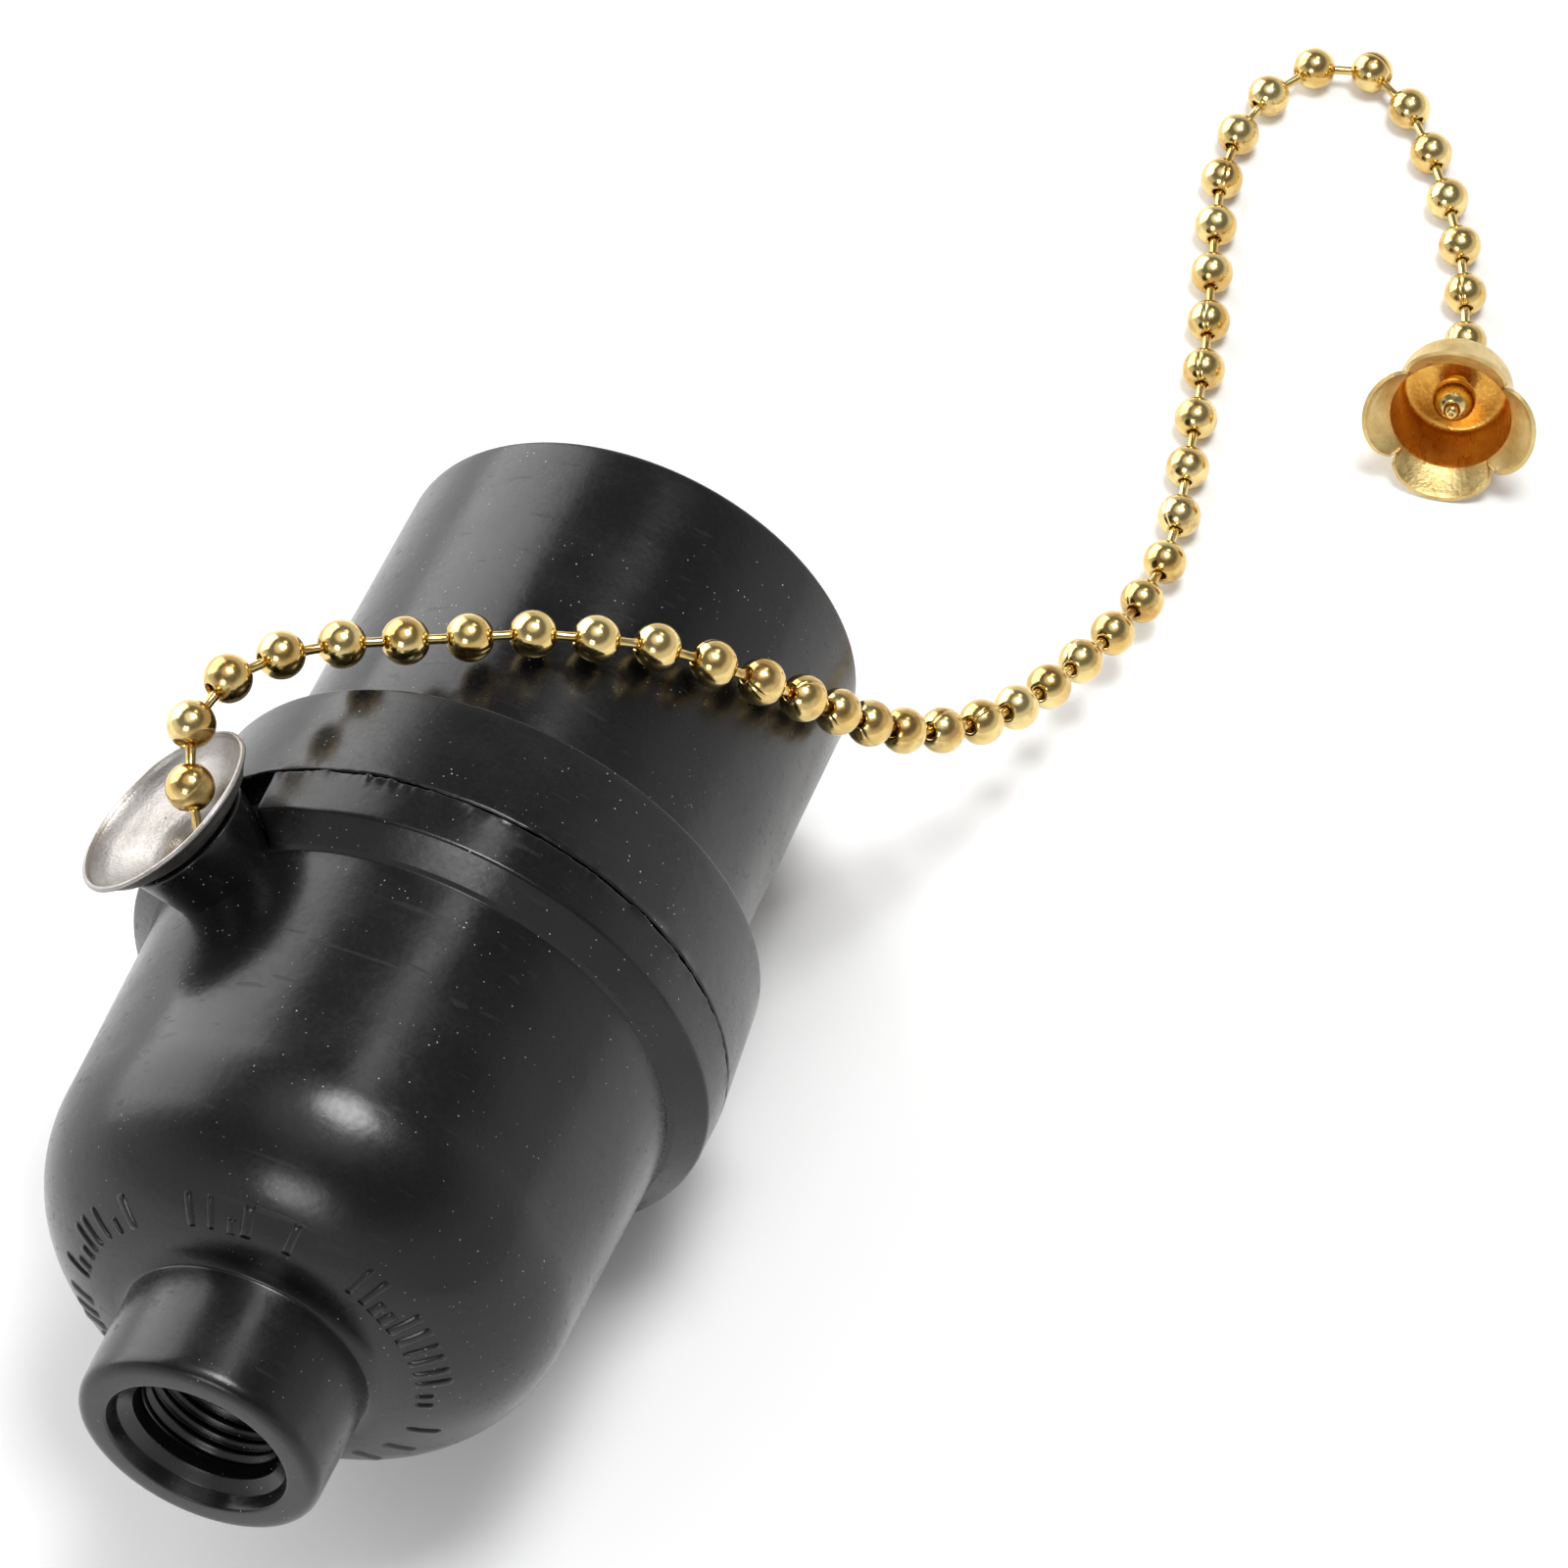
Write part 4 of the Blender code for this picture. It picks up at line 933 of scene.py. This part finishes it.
def make_rating_marks():
    """Low raised bars round the dome, in place of the moulded lettering."""
    centre_r, centre_z, _ = dome_arc()
    dice = random.Random(12)
    verts, faces = [], []

    def dome(lift, around, up):
        """A point over the dome's corner arc, at an angle round the socket and up the arc."""
        r = centre_r + (DOME_CORNER_R + lift) * math.cos(up)
        z = centre_z + (DOME_CORNER_R + lift) * math.sin(up)
        return Vector(turned_point(r, z, around))

    def bar(around, top, half_width):
        columns, rows = 6, 12
        base = len(verts)
        for k in range(rows + 1):
            up = BAR_FOOT + (top - BAR_FOOT) * k / rows
            r = centre_r + DOME_CORNER_R * math.cos(up)
            for i in range(columns + 1):
                u, v = 2.0 * i / columns - 1.0, 2.0 * k / rows - 1.0
                crown = (1.0 - u ** 4) * (1.0 - v ** 8)
                verts.append(dome(BAR_CROWN * crown - BAR_SINK, around + u * half_width / r, up))
        for k in range(rows):
            for i in range(columns):
                a = base + k * (columns + 1) + i
                faces.append([a, a + 1, a + columns + 2, a + columns + 1])

    around = 0.0
    while around < TURN - 0.06:
        if dice.random() < BLANK_CHANCE:
            around += BAR_BLANK
            continue
        tall = dice.random() < TALL_CHANCE
        top = BAR_TOP if tall else BAR_FOOT + (BAR_TOP - BAR_FOOT) * 0.5
        bar(around, top, dice.choice(BAR_HALF_WIDTHS))
        around += dice.choice(BAR_SPACINGS)
    marks = add_mesh("rating_bars", verts, faces, FRAMES["socket"])
    return dress(marks, "black_phenolic", "socket")


# ---------------------------------------------------------------- outer shell

def shell_form(r, z, angle):
    """The joint line's flash and a slight unevenness."""
    point = turned_point(r, z, angle)
    near = flash_share(r, z, JOINT_Z + LINE)
    if near:
        flash = ripple(point, 1.2 * MM, seed=21.0) + 0.7 * ripple(point, 0.45 * MM, seed=29.0)
        patch = FLASH_BASE + 1.2 * max(0.0, ripple(point, 8.0 * MM, seed=33.0) + 0.1)
        r += near * MM * 0.24 * patch * max(flash, FLASH_LEAST)
        z += near * MM * 0.07 * ripple(point, 1.7 * MM, seed=25.0)
    if r > SHELL_R - 0.1 * MM:
        r += 0.03 * MM * ripple(point, 7.0 * MM, seed=31.0)
        r += 0.007 * MM * ripple(point, 2.4 * MM, seed=32.0)
    return r, z


def make_outer_shell():
    """The sleeve round the lamp, with the ring at its joint with the cap."""
    base = JOINT_Z + LINE
    room = SPIGOT_R + GAP
    outside = rounded([
        (room, base, 0.0),
        (FLANGE_R, base, 0.25 * MM),
        (RING_TOP_R, RING_TOP_Z, 0.32 * MM),
        (SHELL_R + 0.35 * MM, RING_TOP_Z + 0.05 * MM, 0.5 * MM),
        (SHELL_R, RING_TOP_Z + 1.4 * MM, 0.6 * MM),
        (SHELL_R, LENGTH, 0.45 * MM),
        (SHELL_BORE_R, LENGTH, 0.4 * MM),
        (SHELL_BORE_R, SPIGOT_TOP_Z + GAP, 0.0),
        (room, SPIGOT_TOP_Z + GAP, 0.0),
    ], 6)
    verts, faces = lathe(refined_loop(outside, 0.7 * MM), socket_angles(), shell_form)
    shell = add_mesh("outer_shell_moulding", verts, faces, FRAMES["socket"], 58.0)
    return dress(shell, "black_phenolic", "socket", nodes=["outer_shell"])


# ---------------------------------------------------------------- guide and dish

def make_guide():
    """The tapered black neck round the chain's way out, with a small fillet at its root."""
    outline = rounded([
        (2.1 * MM, 12.6 * MM, 0.0),
        (4.8 * MM, 12.6 * MM, 0.0),
        (4.8 * MM, 14.0 * MM, 0.0),
        (3.5 * MM, 14.0 * MM, 0.0),
        (3.55 * MM, 17.0 * MM, 0.8 * MM),
        (4.75 * MM, 22.45 * MM, 0.3 * MM),
        (4.4 * MM, 22.5 * MM, 0.1 * MM),
        (3.8 * MM, 22.2 * MM, 0.0),
        (3.0 * MM, 21.3 * MM, 0.0),
        (2.7 * MM, 20.9 * MM, 0.0),
        (2.7 * MM, 17.6 * MM, 0.0),
        (2.1 * MM, 17.6 * MM, 0.0),
    ], 5)

    def form(r, z, angle):
        return r + 0.03 * MM * ripple(turned_point(r, z, angle), 2.4 * MM, seed=41.0), z

    verts, faces = lathe(refined_loop(outline, 0.5 * MM), even_angles(96), form)
    guide = add_mesh("guide_neck", verts, faces, FRAMES["guide"], 50.0)
    return dress(guide, "black_phenolic", "socket", nodes=["chain_guide"])


def make_dish():
    """The flared aluminium eyelet, its rim rolled back into a bead."""
    rim = arc(DISH_RIM_CENTRE, DISH_RIM_R, math.radians(130.0), math.radians(-85.0), 8)
    outline = []
    for r, z in DISH_BOWL + rim + DISH_BACK:
        lift = DISH_LIFT if z > DISH_FOOT_Z else 0.0
        outline.append((r * MM, (z + lift) * MM))

    def form(r, z, angle):
        point = turned_point(r, z, angle)
        share = max(0.0, (r - 3.0 * MM) / (4.0 * MM))
        dent = 0.06 * MM * share * ripple(point, 3.2 * MM, seed=51.0)
        return r + 0.035 * MM * share * ripple(point, 4.0 * MM, seed=55.0), z + dent

    verts, faces = lathe(refined_loop(outline, 0.3 * MM), even_angles(160), form)
    dish = add_mesh("guide_dish_eyelet", verts, faces, FRAMES["guide"])
    return dress(dish, "satin_aluminium", "socket", nodes=["guide_dish"])


# ---------------------------------------------------------------- lamp shell

def make_lamp_shell():
    """The rolled screw shell for the lamp, with a true helical thread."""
    base = SCREW_SHELL_BASE_Z
    start = base + 2.4 * MM
    stop = start + SCREW_PITCH * SCREW_TURNS
    wall_foot = base + 0.6 * MM
    rows = 110
    steps = [wall_foot + (SCREW_SHELL_TOP_Z - wall_foot) * k / rows for k in range(rows + 1)]
    outer = [(SCREW_SHELL_HOLE_R, base), (13.0 * MM, base), (13.5 * MM, base + 0.2 * MM)]
    outer += [(SCREW_SHELL_R, z) for z in steps]
    cup_painted_reflection = [(SCREW_SHELL_R - SCREW_SHELL_WALL, z) for z in reversed(steps)]
    cup_painted_reflection += [(13.1 * MM, base + 0.5 * MM), (SCREW_SHELL_HOLE_R, base + SCREW_SHELL_WALL)]

    def thread(r, z, angle):
        if r < 13.2 * MM or z < base + 0.55 * MM:
            return r, z
        fade = clamped((z - start) / (1.2 * MM)) * clamped((stop - z) / (1.2 * MM))
        turns = (z - start) / SCREW_PITCH - angle / TURN
        wave = (1.0 - math.cos(TURN * turns)) / 2.0
        return r - SCREW_DEPTH * wave * fade, z

    verts, faces = lathe(outer + cup_painted_reflection, even_angles(144), thread)
    shell = add_mesh("lamp_screw_shell", verts, faces, FRAMES["socket"], 50.0)
    return dress(shell, "satin_aluminium", "socket", nodes=["screw_shell"])


# ---------------------------------------------------------------- carried-over CAD nodes

def dress_cad_nodes():
    """Better materials for the inner works, which keep their CAD shapes."""
    groups = {
        "brown_phenolic": ["deck", "cheek_line_side", "cheek_neutral_side", "base_plate"],
        "white_nylon": ["chain_drum", "rotor"],
        "brass": ["inner_chain", "drum_chain", "line_terminal", "line_terminal_screw",
                  "shell_rivet_1", "shell_rivet_2", "contact_rivet"],
        "plated_steel": ["assembly_screw_1", "assembly_screw_2", "neutral_terminal",
                         "neutral_terminal_screw", "axle", "drive_pawl", "ratchet_wheel",
                         "return_spring"],
        "spring_bronze": ["lamp_leaf", "centre_contact", "rotor_contact", "detent_spring"],
    }
    for material, names in groups.items():
        for name in names:
            node = frame["nodes"][name]
            node.data.materials.clear()
            node.data.materials.append(MATERIALS[material])


# ---------------------------------------------------------------- stage

def make_floor():
    corners = ((-1, -1), (1, -1), (1, 1), (-1, 1))
    verts = [(FLOOR_HALF * x, FLOOR_HALF * y, FLOOR_Z) for x, y in corners]
    floor = add_mesh("floor", verts, [[0, 1, 2, 3]])
    floor.data.materials.append(floor_paper("floor_paper"))


def area_light(name, place, size, power):
    """A square light aimed at the socket."""
    data = bpy.data.lights.new(name, "AREA")
    data.size = size
    data.energy = power
    light = bpy.data.objects.new(name, data)
    bpy.context.scene.collection.objects.link(light)
    light.location = place
    way = LIGHT_AIM - Vector(place)
    light.rotation_euler = way.to_track_quat("-Z", "Y").to_euler()


def make_world():
    """Pale studio surroundings, whose brightness depends on height alone."""
    world = bpy.data.worlds.new("studio")
    bpy.context.scene.world = world
    world.use_nodes = True
    tree = world.node_tree
    background = tree.nodes["Background"]
    background.inputs["Strength"].default_value = 1.0
    way = tree.nodes.new("ShaderNodeTexCoord").outputs["Generated"]
    parts = tree.nodes.new("ShaderNodeSeparateXYZ")
    level = tree.nodes.new("ShaderNodeValToRGB")
    for place, _ in WORLD_LEVELS[1:-1]:
        level.color_ramp.elements.new(place)
    for element, (place, strength) in zip(level.color_ramp.elements, WORLD_LEVELS):
        element.position = place
        element.color = (strength, strength, strength, 1.0)
    tree.links.new(way, parts.inputs[0])
    tree.links.new(parts.outputs["Z"], level.inputs["Fac"])
    tree.links.new(level.outputs["Color"], background.inputs["Color"])


def main():
    make_camera()
    chain, route, length = make_free_chain()
    bell = make_bell()
    bell_bead = make_bell_bead()
    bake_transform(chain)
    make_cap()
    make_rating_marks()
    make_outer_shell()
    make_guide()
    make_dish()
    make_lamp_shell()
    dress_cad_nodes()
    make_floor()
    make_world()
    for light in LIGHTS:
        area_light(*light)
    scene = bpy.context.scene
    scene.view_settings.view_transform = "Standard"
    scene.view_settings.look = "None"


main()
